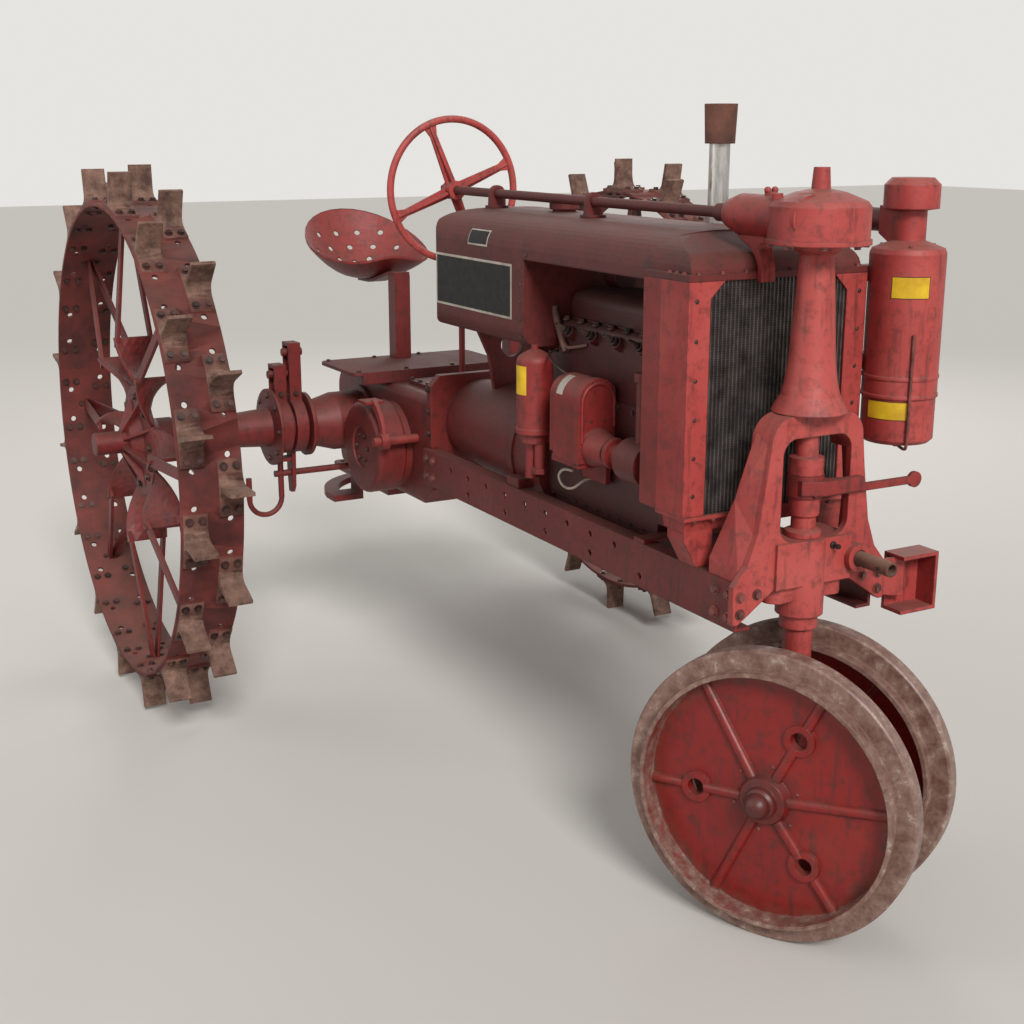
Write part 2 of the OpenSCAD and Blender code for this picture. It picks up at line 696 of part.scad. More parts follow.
pipe_wall = 2.5;
module exhaust_pipe() {
    color("#b8b6b0") on_tractor() difference() {
        translate([pipe_x, pipe_y, pipe_low]) cylinder(r = pipe_r, h = can_z + can_h - can_t - pipe_low);
        translate([pipe_x, pipe_y, pipe_low + 40]) cylinder(r = pipe_r - pipe_wall, h = can_z + can_h - pipe_low);
    }
}
module exhaust_can() {
    color("#7a4630") on_tractor() translate([pipe_x, pipe_y, can_z]) difference() {
        cylinder(r1 = can_r, r2 = can_r + 3.5, h = can_h);
        translate([0, 0, -1]) cylinder(r = can_r - 2.5, h = can_h + 1 - can_t);
    }
}

// Air cleaner: canister with an oil cup clamped below it, a neck with a cap, and a side outlet
cleaner_x = post_x - 76;
cleaner_y = rad_hw + 82;
cleaner_low = rad_low + 118;
cup_h = 98;
neck_r = 34;
neck_h = 62;
hat_r = 58;
hat_h = 75;
outlet_z = cleaner_low + cleaner_h + 50;
cleaner_outline = [[0, 0], [cleaner_r - 10, 0], [cleaner_r - 2, 8], [cleaner_r - 2, cup_h], [cleaner_r + 2, cup_h + 2],
                   [cleaner_r + 2, cup_h + 8], [cleaner_r, cup_h + 10], [cleaner_r, cup_h + 40],
                   [cleaner_r + 2, cup_h + 42], [cleaner_r + 2, cup_h + 48], [cleaner_r, cup_h + 50],
                   [cleaner_r, cleaner_h - 14], [cleaner_r - 4, cleaner_h - 4], [cleaner_r - 14, cleaner_h],
                   [neck_r, cleaner_h + 12], [neck_r, cleaner_h + 12 + neck_h], [hat_r, cleaner_h + 16 + neck_h],
                   [hat_r, cleaner_h + 4 + neck_h + hat_h - 14], [hat_r - 14, cleaner_h + 4 + neck_h + hat_h],
                   [0, cleaner_h + 4 + neck_h + hat_h]];
air_r = 25;
strap_z = [cleaner_low + 150, cleaner_low + 340];
module air_cleaner() {
    color(RED) on_tractor() {
        translate([cleaner_x, cleaner_y, cleaner_low]) rotate_extrude() polygon(cleaner_outline);
        profile_y(cleaner_y - 30, cleaner_y + 30)
            polygon([[cleaner_x, outlet_z + 32], [cleaner_x - 62, outlet_z + 32], [cleaner_x - 62, outlet_z - 26],
                     [cleaner_x - 30, outlet_z - 44], [cleaner_x, outlet_z - 44]]);
        for (z = strap_z) box([rad_front - 60, rad_front - 28], [rad_hw, cleaner_y - 20], [z, z + 34]);
    }
}
air_bend = 60;
air_back = pipe_x - 60 - 78 - air_bend;
elbow_r = air_r + 2;
// A quarter bend from the +X side to the +Y side of its centre, and its hose's radius
module elbow() { rotate_extrude(angle = 90) translate([air_bend, 0]) circle(r = elbow_r); }
module air_pipe() {
    top_x = cleaner_x - 62;
    low_z = carb_z + 12;
    turn_y = cleaner_y - air_bend;
    color(DARK) on_tractor() union() {
        along_x([air_back + air_bend - 1, cleaner_y, outlet_z], air_r, top_x - air_back - air_bend + 1);
        translate([air_back + air_bend, cleaner_y, outlet_z - air_bend]) rotate([90, 0, 0]) rotate([0, 0, 90]) elbow();
        translate([air_back, cleaner_y, low_z + air_bend - 1])
            cylinder(r = air_r, h = outlet_z - low_z - 2 * air_bend + 2);
        translate([air_back, turn_y, low_z + air_bend]) rotate([0, 0, 90]) rotate([90, 0, 0]) rotate([0, 0, -90]) elbow();
        along_y([air_back, man_y - air_r - 8, low_z], air_r, turn_y - man_y + air_r + 9);
        along_x([air_back, man_y, low_z], air_r - 3, air_bend);
    }
}

// Bell housing: from the engine's flywheel back to the gearbox, with feet on the rails and two brackets that
// carry the fuel tank
bell_z = rail_top + 72;
bell_r = 150;
bell_len = 140;
bell_tail_r = 118;
bell_flange = 26;
bell_rim = 6;
bell_top = rail_top + 210;
tank_rest_x = [tank_back + 58, tank_front - 150];
module tank_bracket(x) {
    profile_x(x, x + 16) difference() {
        polygon([[-50, bell_z + 96], [50, bell_z + 96], [70, tank_low - 90], [112, tank_low], [-112, tank_low],
                 [-70, tank_low - 90]]);
        translate([0, tank_low - 62]) circle(r = 34);
    }
    box([x - 16, x + 32], [-120, 120], [tank_low - 8, tank_low]);
}
module bell_housing() {
    color(RED) on_tractor() union() {
        profile_x(bell_back, bell_back + bell_flange)
            polygon([[-138, rail_bottom + 4], [138, rail_bottom + 4], [138, rail_top], [165, rail_top],
                     [165, bell_top - 30], [135, bell_top], [-135, bell_top], [-165, bell_top - 30],
                     [-165, rail_top], [-138, rail_top]]);
        along_x([bell_back + bell_flange - 1, 0, bell_z], bell_tail_r,
                block_back - bell_len - bell_back - bell_flange + 2, bell_r);
        along_x([block_back - bell_len, 0, bell_z], bell_r, bell_len);
        along_x([block_back - bell_len - 8, 0, bell_z], bell_r + bell_rim, 22);
        both_sides() box([block_back - 110, block_back - 50], [-rail_y + 4, -110], [rail_top, rail_top + 24]);
        for (x = tank_rest_x) tank_bracket(x);
        for (a = [60, 120]) translate([block_back - 60, 0, bell_z]) rotate([a - 90, 0, 0])
            translate([0, 0, bell_r - 4]) cylinder(r = 22, h = 16);
    }
}

// Gearbox and rear frame, with the brake drums on its sides
gear_back = -200;
gear_hw = 150;
gear_low = axle_z - 190;
gear_top = axle_z + 140;
gear_round = 24;
drum_x = 236;
drum_z = axle_z - 40;
drum_r = 138;
drum_w = 112;
lid_t = 12;
module gearbox() {
    color(DARK) on_tractor() {
        intersection() {
            profile_x(gear_back, bell_back) round_box([-gear_hw, gear_hw], [gear_low, gear_top], gear_round);
            profile_y(-gear_hw - 1, gear_hw + 1)
                polygon(concat([[bell_back, gear_top + 1]], arc([gear_back + 70, gear_top + 1 - 70], 70, 90, 180),
                               arc([gear_back + 60, gear_low - 1 + 60], 60, 180, 270),
                               [[bell_back - 90, gear_low - 1], [bell_back, gear_low + 60]]));
        }
        translate([0, 0, gear_top]) linear_extrude(lid_t) round_box([222, 470], [-96, 96], 24);
        along_x([gear_back - 14, 0, axle_z - 30], 62, 15);
        along_x([gear_back - 34, 0, axle_z - 30], 30, 21);
        both_sides() translate([drum_x, -gear_hw - drum_w, drum_z]) rotate([-90, 0, 0]) rotate_extrude()
            polygon(concat([[0, 6], [60, 6], [64, 0]], arc([drum_r - 16, 16], 16, -90, 0, 4),
                           [[drum_r, drum_w - 26], [drum_r - 8, drum_w - 20], [drum_r - 8, drum_w + 1], [0, drum_w + 1]]));
    }
}

// Axle housings: bolted to the gearbox's sides, stepped down towards the wheels, each with a ring and a thin disc
housing_len = 490;
tube_r = 64;
disc_r = 118;
disc_at = 307;
ring_at = 193;
bore_depth = 120;
housing_outline = [[0, 0], [104, 0], [104, 14], [90, 16], [90, 110], [76, 160], [tube_r + 4, ring_at - 2],
                   [98, ring_at], [98, ring_at + 12], [tube_r, ring_at + 14], [tube_r, disc_at - 2],
                   [disc_r, disc_at], [disc_r, disc_at + 9], [60, disc_at + 14], [50, housing_len - 30],
                   [57, housing_len - 28], [57, housing_len], [0, housing_len]];
module axle_housing(side) {
    translate([0, side * gear_hw, axle_z]) rotate([side > 0 ? -90 : 90, 0, 0]) difference() {
        rotate_extrude() polygon(housing_outline);
        translate([0, 0, housing_len - bore_depth]) cylinder(r = axle_r + seat_gap, h = bore_depth + 1);
    }
}
module axle_housing_right() { color(RED) on_tractor() axle_housing(-1); }
module axle_housing_left() { color(RED) on_tractor() axle_housing(1); }

// Tool brackets clamped round the axle housings: two upright channels, a lower arm, a hook and a cross rod
clamp_w = 38;
clamp_t = 20;
clamp_at = [ring_at + 22, disc_at - 6 - clamp_w];
upright_top = [axle_z + 257, axle_z + 192];
upright_hw = 28;
hook_r = 52;
hook_wire = 9;
rod_z = axle_z - 150;
rod_r = 10;
module clamp(n) {
    y0 = -gear_hw - clamp_at[n] - clamp_w;
    difference() {
        union() {
            along_y([0, y0, axle_z], tube_r + seat_gap + clamp_t, clamp_w);
            difference() {
                box([-upright_hw, upright_hw], [y0, y0 + clamp_w], [axle_z, upright_top[n]]);
                box([-upright_hw + 8, upright_hw - 8], [y0 - 1, y0 + clamp_w - 8],
                    [axle_z + tube_r + clamp_t + 14, upright_top[n] - 10]);
            }
            along_y([0, y0 - 12, upright_top[n] - 30], 12, clamp_w + 24);
            box([-upright_hw - 16, upright_hw + 16], [y0 + 8, y0 + clamp_w - 8], [axle_z - 14, axle_z + 14]);
        }
        along_y([0, y0 - 20, axle_z], tube_r + seat_gap, clamp_w + 40);
    }
}
module axle_brackets() {
    arm_y = -gear_hw - clamp_at[0] - clamp_w;
    hook_y = -gear_hw - clamp_at[1] - clamp_w - 35;
    color(RED) on_tractor() both_sides() {
        clamp(0);
        clamp(1);
        profile_y(arm_y, arm_y + 12)
            polygon([[-26, axle_z - tube_r - 12], [26, axle_z - tube_r - 12], [20, axle_z - 190], [6, axle_z - 212],
                     [-16, axle_z - 212], [-24, axle_z - 150]]);
        box([-20, 20], [arm_y - 40, arm_y + 1], [axle_z - 110, axle_z - 98]);
        along_y([0, hook_y + hook_r - 20, rod_z], rod_r, -gear_hw - hook_y - hook_r + 20);
        translate([0, hook_y, axle_z - 224]) rotate([90, 0, 90]) rotate([0, 0, 180])
            rotate_extrude(angle = 180) translate([hook_r, 0]) circle(r = hook_wire - 0.8);
        translate([0, hook_y + hook_r, axle_z - 225]) cylinder(r = hook_wire, h = 225 - tube_r - 8);
        translate([0, hook_y - hook_r, axle_z - 225]) cylinder(r = hook_wire, h = 70);
    }
}

// Drawbar: a curved support under the rear frame and a swinging tongue with its pin hole
draw_z = gear_low - 80;
draw_t = 20;
draw_out = 250;
draw_in = 205;
draw_x = -60;
hanger_x = [-90, -20];
tongue_hw = 32;
draw_hole_x = -555;
draw_hole_r = 12;
module drawbar() {
    color(DARK) on_tractor() difference() {
        union() {
            translate([draw_x, 0, draw_z]) linear_extrude(draw_t) intersection() {
                difference() { circle(r = draw_out); circle(r = draw_in); }
                translate([-draw_out - 1, -draw_out - 1]) square([draw_out + 1, 2 * draw_out + 2]);
            }
            both_sides() {
                box(hanger_x, [gear_hw, draw_out], [draw_z, draw_z + draw_t]);
                box(hanger_x, [gear_hw, gear_hw + 14], [draw_z, gear_low + 70]);
            }
            box([draw_hole_x, -90], [-tongue_hw, tongue_hw], [draw_z - draw_t, draw_z]);
            translate([draw_hole_x, 0, draw_z - draw_t]) cylinder(r = tongue_hw, h = draw_t);
            box([-130, -90], [-26, 26], [draw_z - 1, gear_low]);
        }
        translate([draw_hole_x, 0, draw_z - draw_t - 1]) cylinder(r = draw_hole_r, h = draw_t + 2);
    }
}

// Seat: a post, a curved spring leaf and a dished pan with round holes
post_back = -66;
post_face = -14;
seat_x = -290;
plate_top = gear_top + 37;
leaf_w = 50;
module seat_support() {
    color(DARK) on_tractor() {
        difference() {
            box([post_back, post_face], [-26, 26], [plate_top, seat_z + 30]);
            box([post_back - 1, post_face - 8], [-18, 18], [plate_top + 30, seat_z - 10]);
        }
        profile_y(-leaf_w / 2, leaf_w / 2)
            polygon([[post_face, seat_z + 29], [post_face, seat_z + 39], [post_back, seat_z + 39],
                     [seat_x + 123, seat_z + 14], [seat_x + 92, seat_z + 6], [seat_x + 61, seat_z + 1],
                     [seat_x + 30, seat_z],
                     [seat_x - 26, seat_z], [seat_x - 26, seat_z - 10], [seat_x + 61, seat_z - 9],
                     [seat_x + 92, seat_z - 5], [seat_x + 123, seat_z + 3], [post_back, seat_z + 28]]);
    }
}
pan_rings = 7;
pan_sides = 32;
pan_flat = 0.13;
rise_mid = 115;
rise_tilt = 75;
rise_saddle = 15;
pommel = 24;
pan_hole_r = 9.5;
pan_holes = [[-45, -62], [-45, 0], [-45, 62], [-105, -52], [-105, 0], [-105, 52], [30, -62], [30, 62]];
function pan_lift(t, a) =
    (rise_mid - rise_tilt * cos(a) + rise_saddle * cos(2 * a)) * pow(max(0, (t - pan_flat) / (1 - pan_flat)), 2)
    + pommel * pow(max(0, cos(a)), 14) * pow(t, 4);
function pan_point(i, j, up) =
    let (t = i == 1 ? pan_flat : i / pan_rings, a = 360 * j / pan_sides, out = seat_r * t * (1 + 0.04 * cos(2 * a)))
    [out * cos(a), out * sin(a), pan_lift(t, a) + up * seat_t * (1 + 1.2 * t * t)];
module seat() {
    n = pan_sides;
    rings = [for (i = [1:pan_rings]) i];
    under = [for (i = rings, j = [0:n - 1]) pan_point(i, j, 0)];
    over = [for (i = rings, j = [0:n - 1]) pan_point(i, j, 1)];
    half = n * pan_rings;
    last = half - n;
    points = concat(under, over, [[0, 0, 0], [0, 0, seat_t]]);
    faces = concat(
        [for (i = [0:pan_rings - 2], j = [0:n - 1], s = [0, 1]) let (k = (j + 1) % n)
            s == 0 ? [i * n + j, (i + 1) * n + j, (i + 1) * n + k] : [i * n + j, (i + 1) * n + k, i * n + k]],
        [for (i = [0:pan_rings - 2], j = [0:n - 1], s = [0, 1]) let (k = (j + 1) % n)
            s == 0 ? [half + i * n + j, half + (i + 1) * n + k, half + (i + 1) * n + j]
                   : [half + i * n + j, half + i * n + k, half + (i + 1) * n + k]],
        [for (j = [0:n - 1], s = [0, 1]) let (k = (j + 1) % n)
            s == 0 ? [last + j, half + last + j, half + last + k] : [last + j, half + last + k, last + k]],
        [for (j = [0:n - 1]) [j, (j + 1) % n, 2 * half]],
        [for (j = [0:n - 1]) [half + (j + 1) % n, half + j, 2 * half + 1]]);
    color(RED) on_tractor() translate([seat_x, 0, seat_z]) difference() {
        polyhedron(points = points, faces = faces);
        for (h = pan_holes) translate([h[0], h[1], -5]) cylinder(r = pan_hole_r, h = 120);
    }
}
plate_t = 10;
plate_x = [-90, 196];
plate_hw = 260;
module platform() {
    color(RED) on_tractor() {
        translate([0, 0, plate_top - plate_t]) linear_extrude(plate_t)
            round_box(plate_x, [-plate_hw, plate_hw], 30);
        box([plate_x[1] - 10, plate_x[1]], [-plate_hw + 30, plate_hw - 30], [gear_top, plate_top - plate_t + 1]);
        both_sides() box([-70, 150], [-gear_hw + gear_round, -gear_hw + gear_round + 12],
                         [gear_top, plate_top - plate_t + 1]);
    }
}

// Gear lever, brake pedals, and the front lever that lies against the pedestal on a collar round the steering shaft
lever_x = 400;
pedal_x = 400;
pedal_z = axle_z + 8;
pedal_y = 290;
collar_z = sill_z + 85;
collar_h = 46;
front_gap = 0.5;
module pedal() {
    along_y([pedal_x, -pedal_y, pedal_z], 13, pedal_y - gear_hw);
    along_y([pedal_x, -pedal_y + 20, pedal_z], 24, 24);
    profile_y(-pedal_y + 26, -pedal_y + 38)
        polygon(concat(arc([pedal_x - 110, pedal_z], 122, 0, 70, 7), arc([pedal_x - 110, pedal_z], 100, 70, 0, 7)));
    box([pedal_x - 118, pedal_x - 58], [-pedal_y + 4, -pedal_y + 60], [pedal_z + 100, pedal_z + 108]);
}
module levers() {
    color(RED) on_tractor() {
        translate([lever_x, 0, gear_top + lid_t]) cylinder(r1 = 40, r2 = 18, h = 34);
        translate([lever_x, 0, gear_top + lid_t + 33]) cylinder(r = 9, h = 160);
        translate([lever_x, 0, gear_top + lid_t + 205]) sphere(r = 20);
        both_sides() pedal();
        difference() {
            union() {
                translate([post_x, 0, collar_z]) cylinder(r = 38, h = collar_h);
                translate([0, 0, collar_z + 8]) linear_extrude(30)
                    polygon([[post_x + 10, -34], [post_x + 30, -34], [ped_front + 18, 6], [ped_front + 16, 112],
                             [ped_front + front_gap, 112], [ped_front + front_gap, 66], [post_x + 26, 36],
                             [post_x, 36]]);
            }
            translate([post_x, 0, collar_z - 1]) cylinder(r = shaft_r + seat_gap, h = collar_h + 2);
        }
        box([ped_front + front_gap, ped_front + front_gap + 9], [-10, 262], [collar_z + 4, collar_z + 20]);
        along_x([ped_front + front_gap, 262, collar_z + 12], 17, 9);
    }
}

// Steering wheel: round rim, four spokes of T section, hub and nut. Its shaft runs to the worm.
wheel_x = tank_back - 180;
wheel_rim_r = 10;
wheel_turn = 22;
spoke_root = 30;
spoke_tip = 20;
spoke_t = 6;
hub_r = 26;
module steering_wheel() {
    color(RED) on_tractor() translate([wheel_x, steer_y, steer_z]) rotate([0, 90, 0]) {
        rotate_extrude() translate([wheel_r, 0]) circle(r = wheel_rim_r, $fn = 24);
        difference() {
            union() {
                translate([0, 0, -20]) cylinder(r = hub_r, h = 46);
                for (a = [0:90:270]) rotate([0, 0, a + wheel_turn]) {
                    translate([0, 0, -spoke_t / 2]) linear_extrude(spoke_t)
                        polygon([[hub_r - 6, -spoke_root / 2], [wheel_r - 34, -spoke_tip / 2], [wheel_r - 4, -spoke_tip],
                                 [wheel_r - 4, spoke_tip], [wheel_r - 34, spoke_tip / 2], [hub_r - 6, spoke_root / 2]]);
                    rotate([90, 0, 0]) translate([0, 0, -4]) linear_extrude(8)
                        polygon([[hub_r - 6, 0], [wheel_r - 5, 0], [wheel_r - 5, 5], [hub_r - 6, 18]]);
                }
            }
            translate([0, 0, -21]) cylinder(r = steer_shaft_r + 0.1, h = 60);
        }
    }
}
shaft_nut_r = 20;
module steering_shaft() {
    color(IRON) on_tractor() {
        along_x([wheel_x - 26, steer_y, steer_z], steer_shaft_r, worm_back + worm_nose + 4 - wheel_x + 26);
        translate([wheel_x - 44, steer_y, steer_z]) rotate([0, 90, 0]) cylinder(r = shaft_nut_r, h = 23.7, $fn = 6);
        along_x([worm_back - 46, steer_y, steer_z], 19, 34);
    }
}

// Steered parts turn about the post: the upright shaft with its knuckle, and the two front wheels
front_hub_in = 42;
module steered() { translate([post_x, 0, 0]) rotate([0, 0, steer_rest]) children(); }
module front_spindle() {
    color(RED) on_tractor() steered() {
        rotate_extrude() polygon([[0, front_z - 50], [36, front_z - 50], [42, front_z - 36], [42, front_z + 34],
            [31, front_z + 90], [31, bearing_low - 34], [40, bearing_low - 30], [40, bearing_low - seat_gap],
            [shaft_r, bearing_low - seat_gap], [shaft_r, sill_z + seat_gap], [38, sill_z + seat_gap],
            [38, sill_z + 12], [26, sill_z + 18], [26, sill_z + 42], [31, sill_z + 46], [33, collar_z - seat_gap],
            [shaft_r, collar_z - seat_gap], [shaft_r, collar_z + collar_h + seat_gap],
            [36, collar_z + collar_h + seat_gap], [36, collar_z + collar_h + 36], [shaft_r, collar_z + collar_h + 40],
            [shaft_r, ped_top - 40], [0, ped_top - 40]]);
        along_y([0, -front_half_track + front_hub_in + seat_gap, front_z], 36,
                2 * (front_half_track - front_hub_in - seat_gap));
        along_y([0, -front_half_track - 40, front_z], spindle_r, 2 * (front_half_track + 40));
    }
}
disc_rib_r = 12;
disc_turn = 5;
vent_r = 19;
vent_ring_r = 34;
vent_at = 160;
disc_rise = 16;
cap_dome_r = 28;
disc_in = front_rim_r - front_rim_t;
// The wheel's section as [radius, distance outwards from the rim's middle]
front_outline = concat(
    [[0, -front_hub_in], [44, -front_hub_in], [44, 8], [90, 9], [disc_in, -6], [disc_in, -front_rim_w / 2],
     [front_rim_r, -front_rim_w / 2], [front_rim_r, -guide_w / 2], [guide_r - 4, -guide_w / 2],
     [guide_r, -guide_w / 2 + 4], [guide_r, guide_w / 2 - 4], [guide_r - 4, guide_w / 2], [front_rim_r, guide_w / 2],
     [front_rim_r, front_rim_w / 2], [disc_in, front_rim_w / 2], [disc_in, 4], [90, 4 + disc_rise],
     [58, 5 + disc_rise], [50, 40], [36, 44], [34, 56]],
    arc([0, 62], cap_dome_r, 0, 90));
module front_wheel(side) {
    slope = atan2(disc_rise, disc_in - 90);
    translate([0, side * front_half_track, front_z]) rotate([side * -90, 0, 0]) difference() {
        union() {
            rotate_extrude($fn = 128) polygon(front_outline);
            for (k = [0:disc_ribs - 1]) rotate([0, 0, disc_turn + 360 / disc_ribs * k])
                translate([52, 0, 4 + disc_rise + tan(slope) * 36]) rotate([0, 90 + slope, 0])
                    cylinder(r = disc_rib_r, h = (disc_in - 52 + 4) / cos(slope));
            for (k = [1:2:disc_ribs - 1]) rotate([0, 0, disc_turn + 360 / disc_ribs * k])
                translate([vent_at, 0, 0]) cylinder(r = vent_ring_r, h = 24);
        }
        for (k = [1:2:disc_ribs - 1]) rotate([0, 0, disc_turn + 360 / disc_ribs * k])
            translate([vent_at, 0, -30]) cylinder(r = vent_r, h = 80);
        translate([0, 0, -front_hub_in - 1]) cylinder(r = spindle_r + seat_gap, h = front_hub_in + 43);
    }
}
module front_wheel_right() { color(RED) on_tractor() steered() front_wheel(-1); }
module front_wheel_left() { color(RED) on_tractor() steered() front_wheel(1); }

// Rear wheels: a rim with two staggered rows of lugs. A lug is bent from plate: a long foot on the rim that
// rises through round fillets into an upright blade.
lug_inset = 3;
lug_root = 8;
foot_t = 10.5;
blade_edge = concat([[-lug_foot, rim_r - 6], [-lug_foot, rim_r - 6 + foot_t], [-38, rim_r + 9]],
                    arc([-lug_root - 26, rim_r + 38], 27, -75, 0, 3));
lug_outline = concat(blade_edge, [[-lug_tip_t / 2, tip_r], [lug_tip_t / 2, tip_r]],
                     [for (k = [len(blade_edge) - 1:-1:0]) [-blade_edge[k][0], blade_edge[k][1]]]);
module rear_rim(side) {
    translate([0, side * half_track, axle_z]) rotate([90, 0, 0]) {
        difference() {
            cylinder(r = rim_r, h = rim_w, center = true, $fn = 128);
            cylinder(r = rim_r - rim_t, h = rim_w + 2, center = true, $fn = 128);
        }
        for (k = [0:lugs_per_row - 1], row = [-1, 1])
            rotate([0, 0, 180 + lug_step * (k + (row == side ? 0.5 : 0))])
                translate([0, 0, -row * (rim_w / 2 - lug_w / 2 - lug_inset) - lug_w / 2])
                    linear_extrude(lug_w) polygon(lug_outline);
    }
}
module rear_rim_right() { color(DARK) on_tractor() rear_rim(-1); }
module rear_rim_left() { color(DARK) on_tractor() rear_rim(1); }
// Centre of a rear wheel: hub, arms that twist from flat to edge-on, and a V of straps from each arm to the rim
hub_plate_r = 162;
arm_from = 150;
arm_to = 305;
strap_from = 284;
strap_spread = 50;
strap_foot = 6;
rib_n = 8;
sleeve_r = 33;
hub_inner = 98;
// The hub's section as [radius, distance outwards from the rim's middle]
hub_outline = [[0, -hub_inner], [56, -hub_inner], [60, -hub_inner + 6], [60, -46], [84, -14], [hub_plate_r, -6],
               [hub_plate_r, 6], [88, 12], [50, 40], [sleeve_r, 46], [sleeve_r, axle_out - 3],
               [sleeve_r - 3, axle_out], [0, axle_out]];
module rear_centre(side) {
    inner_r = rim_r - rim_t;
    leg = [inner_r - strap_from, strap_spread - strap_foot];
    lean = atan2(leg[1], leg[0]);
    inner_end = half_track - gear_hw - housing_len + bore_depth - 4;
    translate([0, side * half_track, axle_z]) rotate([side > 0 ? -90 : 90, 0, 0]) {
        rotate_extrude() polygon(hub_outline);
        translate([0, 0, -inner_end]) cylinder(r = axle_r, h = inner_end);
        for (k = [0:rib_n - 1]) rotate([0, 0, 360 / rib_n * (k + 0.5)]) rotate([90, 0, 0]) translate([0, 0, -4])
            linear_extrude(8) polygon([[sleeve_r - 3, 0], [hub_plate_r - 20, 0], [hub_plate_r - 20, 8], [sleeve_r - 3, 62]]);
        for (k = [0:arms - 1]) rotate([0, 0, 360 / arms * k]) translate([arm_from, 0, 0]) rotate([0, 90, 0])
            linear_extrude(arm_to - arm_from, twist = 90, slices = 6, segments = 12)
                square([arm_t, arm_w], center = true);
        intersection() {
            for (k = [0:arms - 1], way = [-1, 1]) rotate([0, 0, 360 / arms * k])
                translate([strap_from, 0, way * strap_spread]) rotate([0, way * lean, 0])
                    translate([-8, -strap_w / 2, -strap_t / 2]) cube([norm(leg) + 30, strap_w, strap_t]);
            cylinder(r = inner_r, h = rim_w, center = true, $fn = 128);
        }
    }
}
module rear_centre_right() { color(DARK) on_tractor() rear_centre(-1); }
module rear_centre_left() { color(DARK) on_tractor() rear_centre(1); }

// Fan: a belt pulley and four pitched blades on the cover's bearing
fan_hub_r = 22;
fan_hub_h = 34;
blade_r = 188;
blade_w = 62;
blade_pitch = 20;
module fan() {
    color(DARK) on_tractor() translate([block_front + cover_d + seat_gap, 0, fan_z]) {
        rotate([0, 90, 0]) cylinder(r = fan_hub_r, h = fan_hub_h);
        rotate([0, 90, 0]) cylinder(r = fan_hub_r + 20, h = 8);
        for (a = [0:90:270]) rotate([a, 0, 0]) translate([19, 0, fan_hub_r - 6]) rotate([0, 0, blade_pitch])
            translate([-2, -blade_w / 2, 0]) cube([4, blade_w, blade_r - fan_hub_r + 6]);
    }
}

frame_rail_right();
frame_rail_left();
front_pedestal();
steering_post();
steering_gear_case();
radiator_core();
radiator_top_tank();
radiator_bottom_tank();
radiator_sides();
fan_shroud();
hood();
fuel_tank();
fuel_cap();
shaft_supports();
engine_block();
valve_cover();
oil_pan();
timing_cover();
magneto();
oil_filter();
exhaust_manifold();
exhaust_pipe();
exhaust_can();
air_cleaner();
air_pipe();
bell_housing();
gearbox();
axle_housing_right();
axle_housing_left();
axle_brackets();
drawbar();
seat_support();
seat();
platform();
levers();
steering_wheel();
steering_shaft();
front_spindle();
front_wheel_right();
front_wheel_left();
rear_rim_right();
rear_centre_right();
rear_rim_left();
rear_centre_left();
fan();
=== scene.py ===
import json
import math
from collections import namedtuple

import bmesh
import bpy
from mathutils import Euler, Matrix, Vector
from mathutils.bvhtree import BVHTree


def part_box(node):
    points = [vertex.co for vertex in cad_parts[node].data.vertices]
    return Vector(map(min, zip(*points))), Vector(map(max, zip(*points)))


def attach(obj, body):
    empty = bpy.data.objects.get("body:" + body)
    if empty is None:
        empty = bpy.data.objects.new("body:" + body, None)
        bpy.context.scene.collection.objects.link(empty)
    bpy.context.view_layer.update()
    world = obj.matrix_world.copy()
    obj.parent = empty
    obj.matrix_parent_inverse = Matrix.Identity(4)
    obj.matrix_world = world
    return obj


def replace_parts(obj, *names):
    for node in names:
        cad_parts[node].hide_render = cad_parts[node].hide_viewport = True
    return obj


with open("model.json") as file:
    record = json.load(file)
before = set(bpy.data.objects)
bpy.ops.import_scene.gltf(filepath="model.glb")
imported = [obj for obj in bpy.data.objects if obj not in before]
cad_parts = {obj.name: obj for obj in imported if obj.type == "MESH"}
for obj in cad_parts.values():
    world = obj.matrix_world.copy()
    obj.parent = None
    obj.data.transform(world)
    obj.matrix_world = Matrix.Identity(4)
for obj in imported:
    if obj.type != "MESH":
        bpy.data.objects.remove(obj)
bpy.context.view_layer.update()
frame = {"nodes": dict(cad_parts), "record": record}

MM = 0.001

# Places that the rest is worked out from
JOINTS = {joint["name"]: joint for joint in frame["record"]["behaviour"]["joints"]}
AXLE_X = JOINTS["rear_wheel_right_turns"]["pos_m"][0]
AXLE_Z = JOINTS["rear_wheel_right_turns"]["pos_m"][2] / MM
FORWARD, BACK = (1, 0, 0), (-1, 0, 0)
LEFT, RIGHT = (0, 1, 0), (0, -1, 0)
UP, DOWN = (0, 0, 1), (0, 0, -1)
SIDES = ((-1, RIGHT), (1, LEFT))


def on_axle(x, y, z):
    """Millimetres forward of the rear axle, to the left and up, turned to the frame's metres."""
    return Vector((AXLE_X + x * MM, y * MM, z * MM))


Edges = namedtuple("Edges", "x0 x1 y0 y1 z0 z1")


def edges(node):
    """A node's box in the same millimetres as on_axle takes."""
    ends = []
    for low, high, start in zip(*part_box(node), (AXLE_X, 0, 0)):
        ends += [(low - start) / MM, (high - start) / MM]
    return Edges(*ends)


def level_aim(degrees):
    """A level direction, turned to the left from straight ahead."""
    return Vector((math.cos(math.radians(degrees)), math.sin(math.radians(degrees)), 0))


def raised_aim(side, degrees):
    """A direction to one side, raised by an angle from level."""
    return Vector((0, side * math.cos(math.radians(degrees)), math.sin(math.radians(degrees))))


# Camera: the photograph's viewpoint, measured from the ground under the rear axle
CAMERA_AT = (4201.5, -1920.2, 1683.8)
CAMERA_HEADING = 151.22
CAMERA_DOWN = 14.88
CAMERA_LENS = 51.01
SENSOR = 36.0


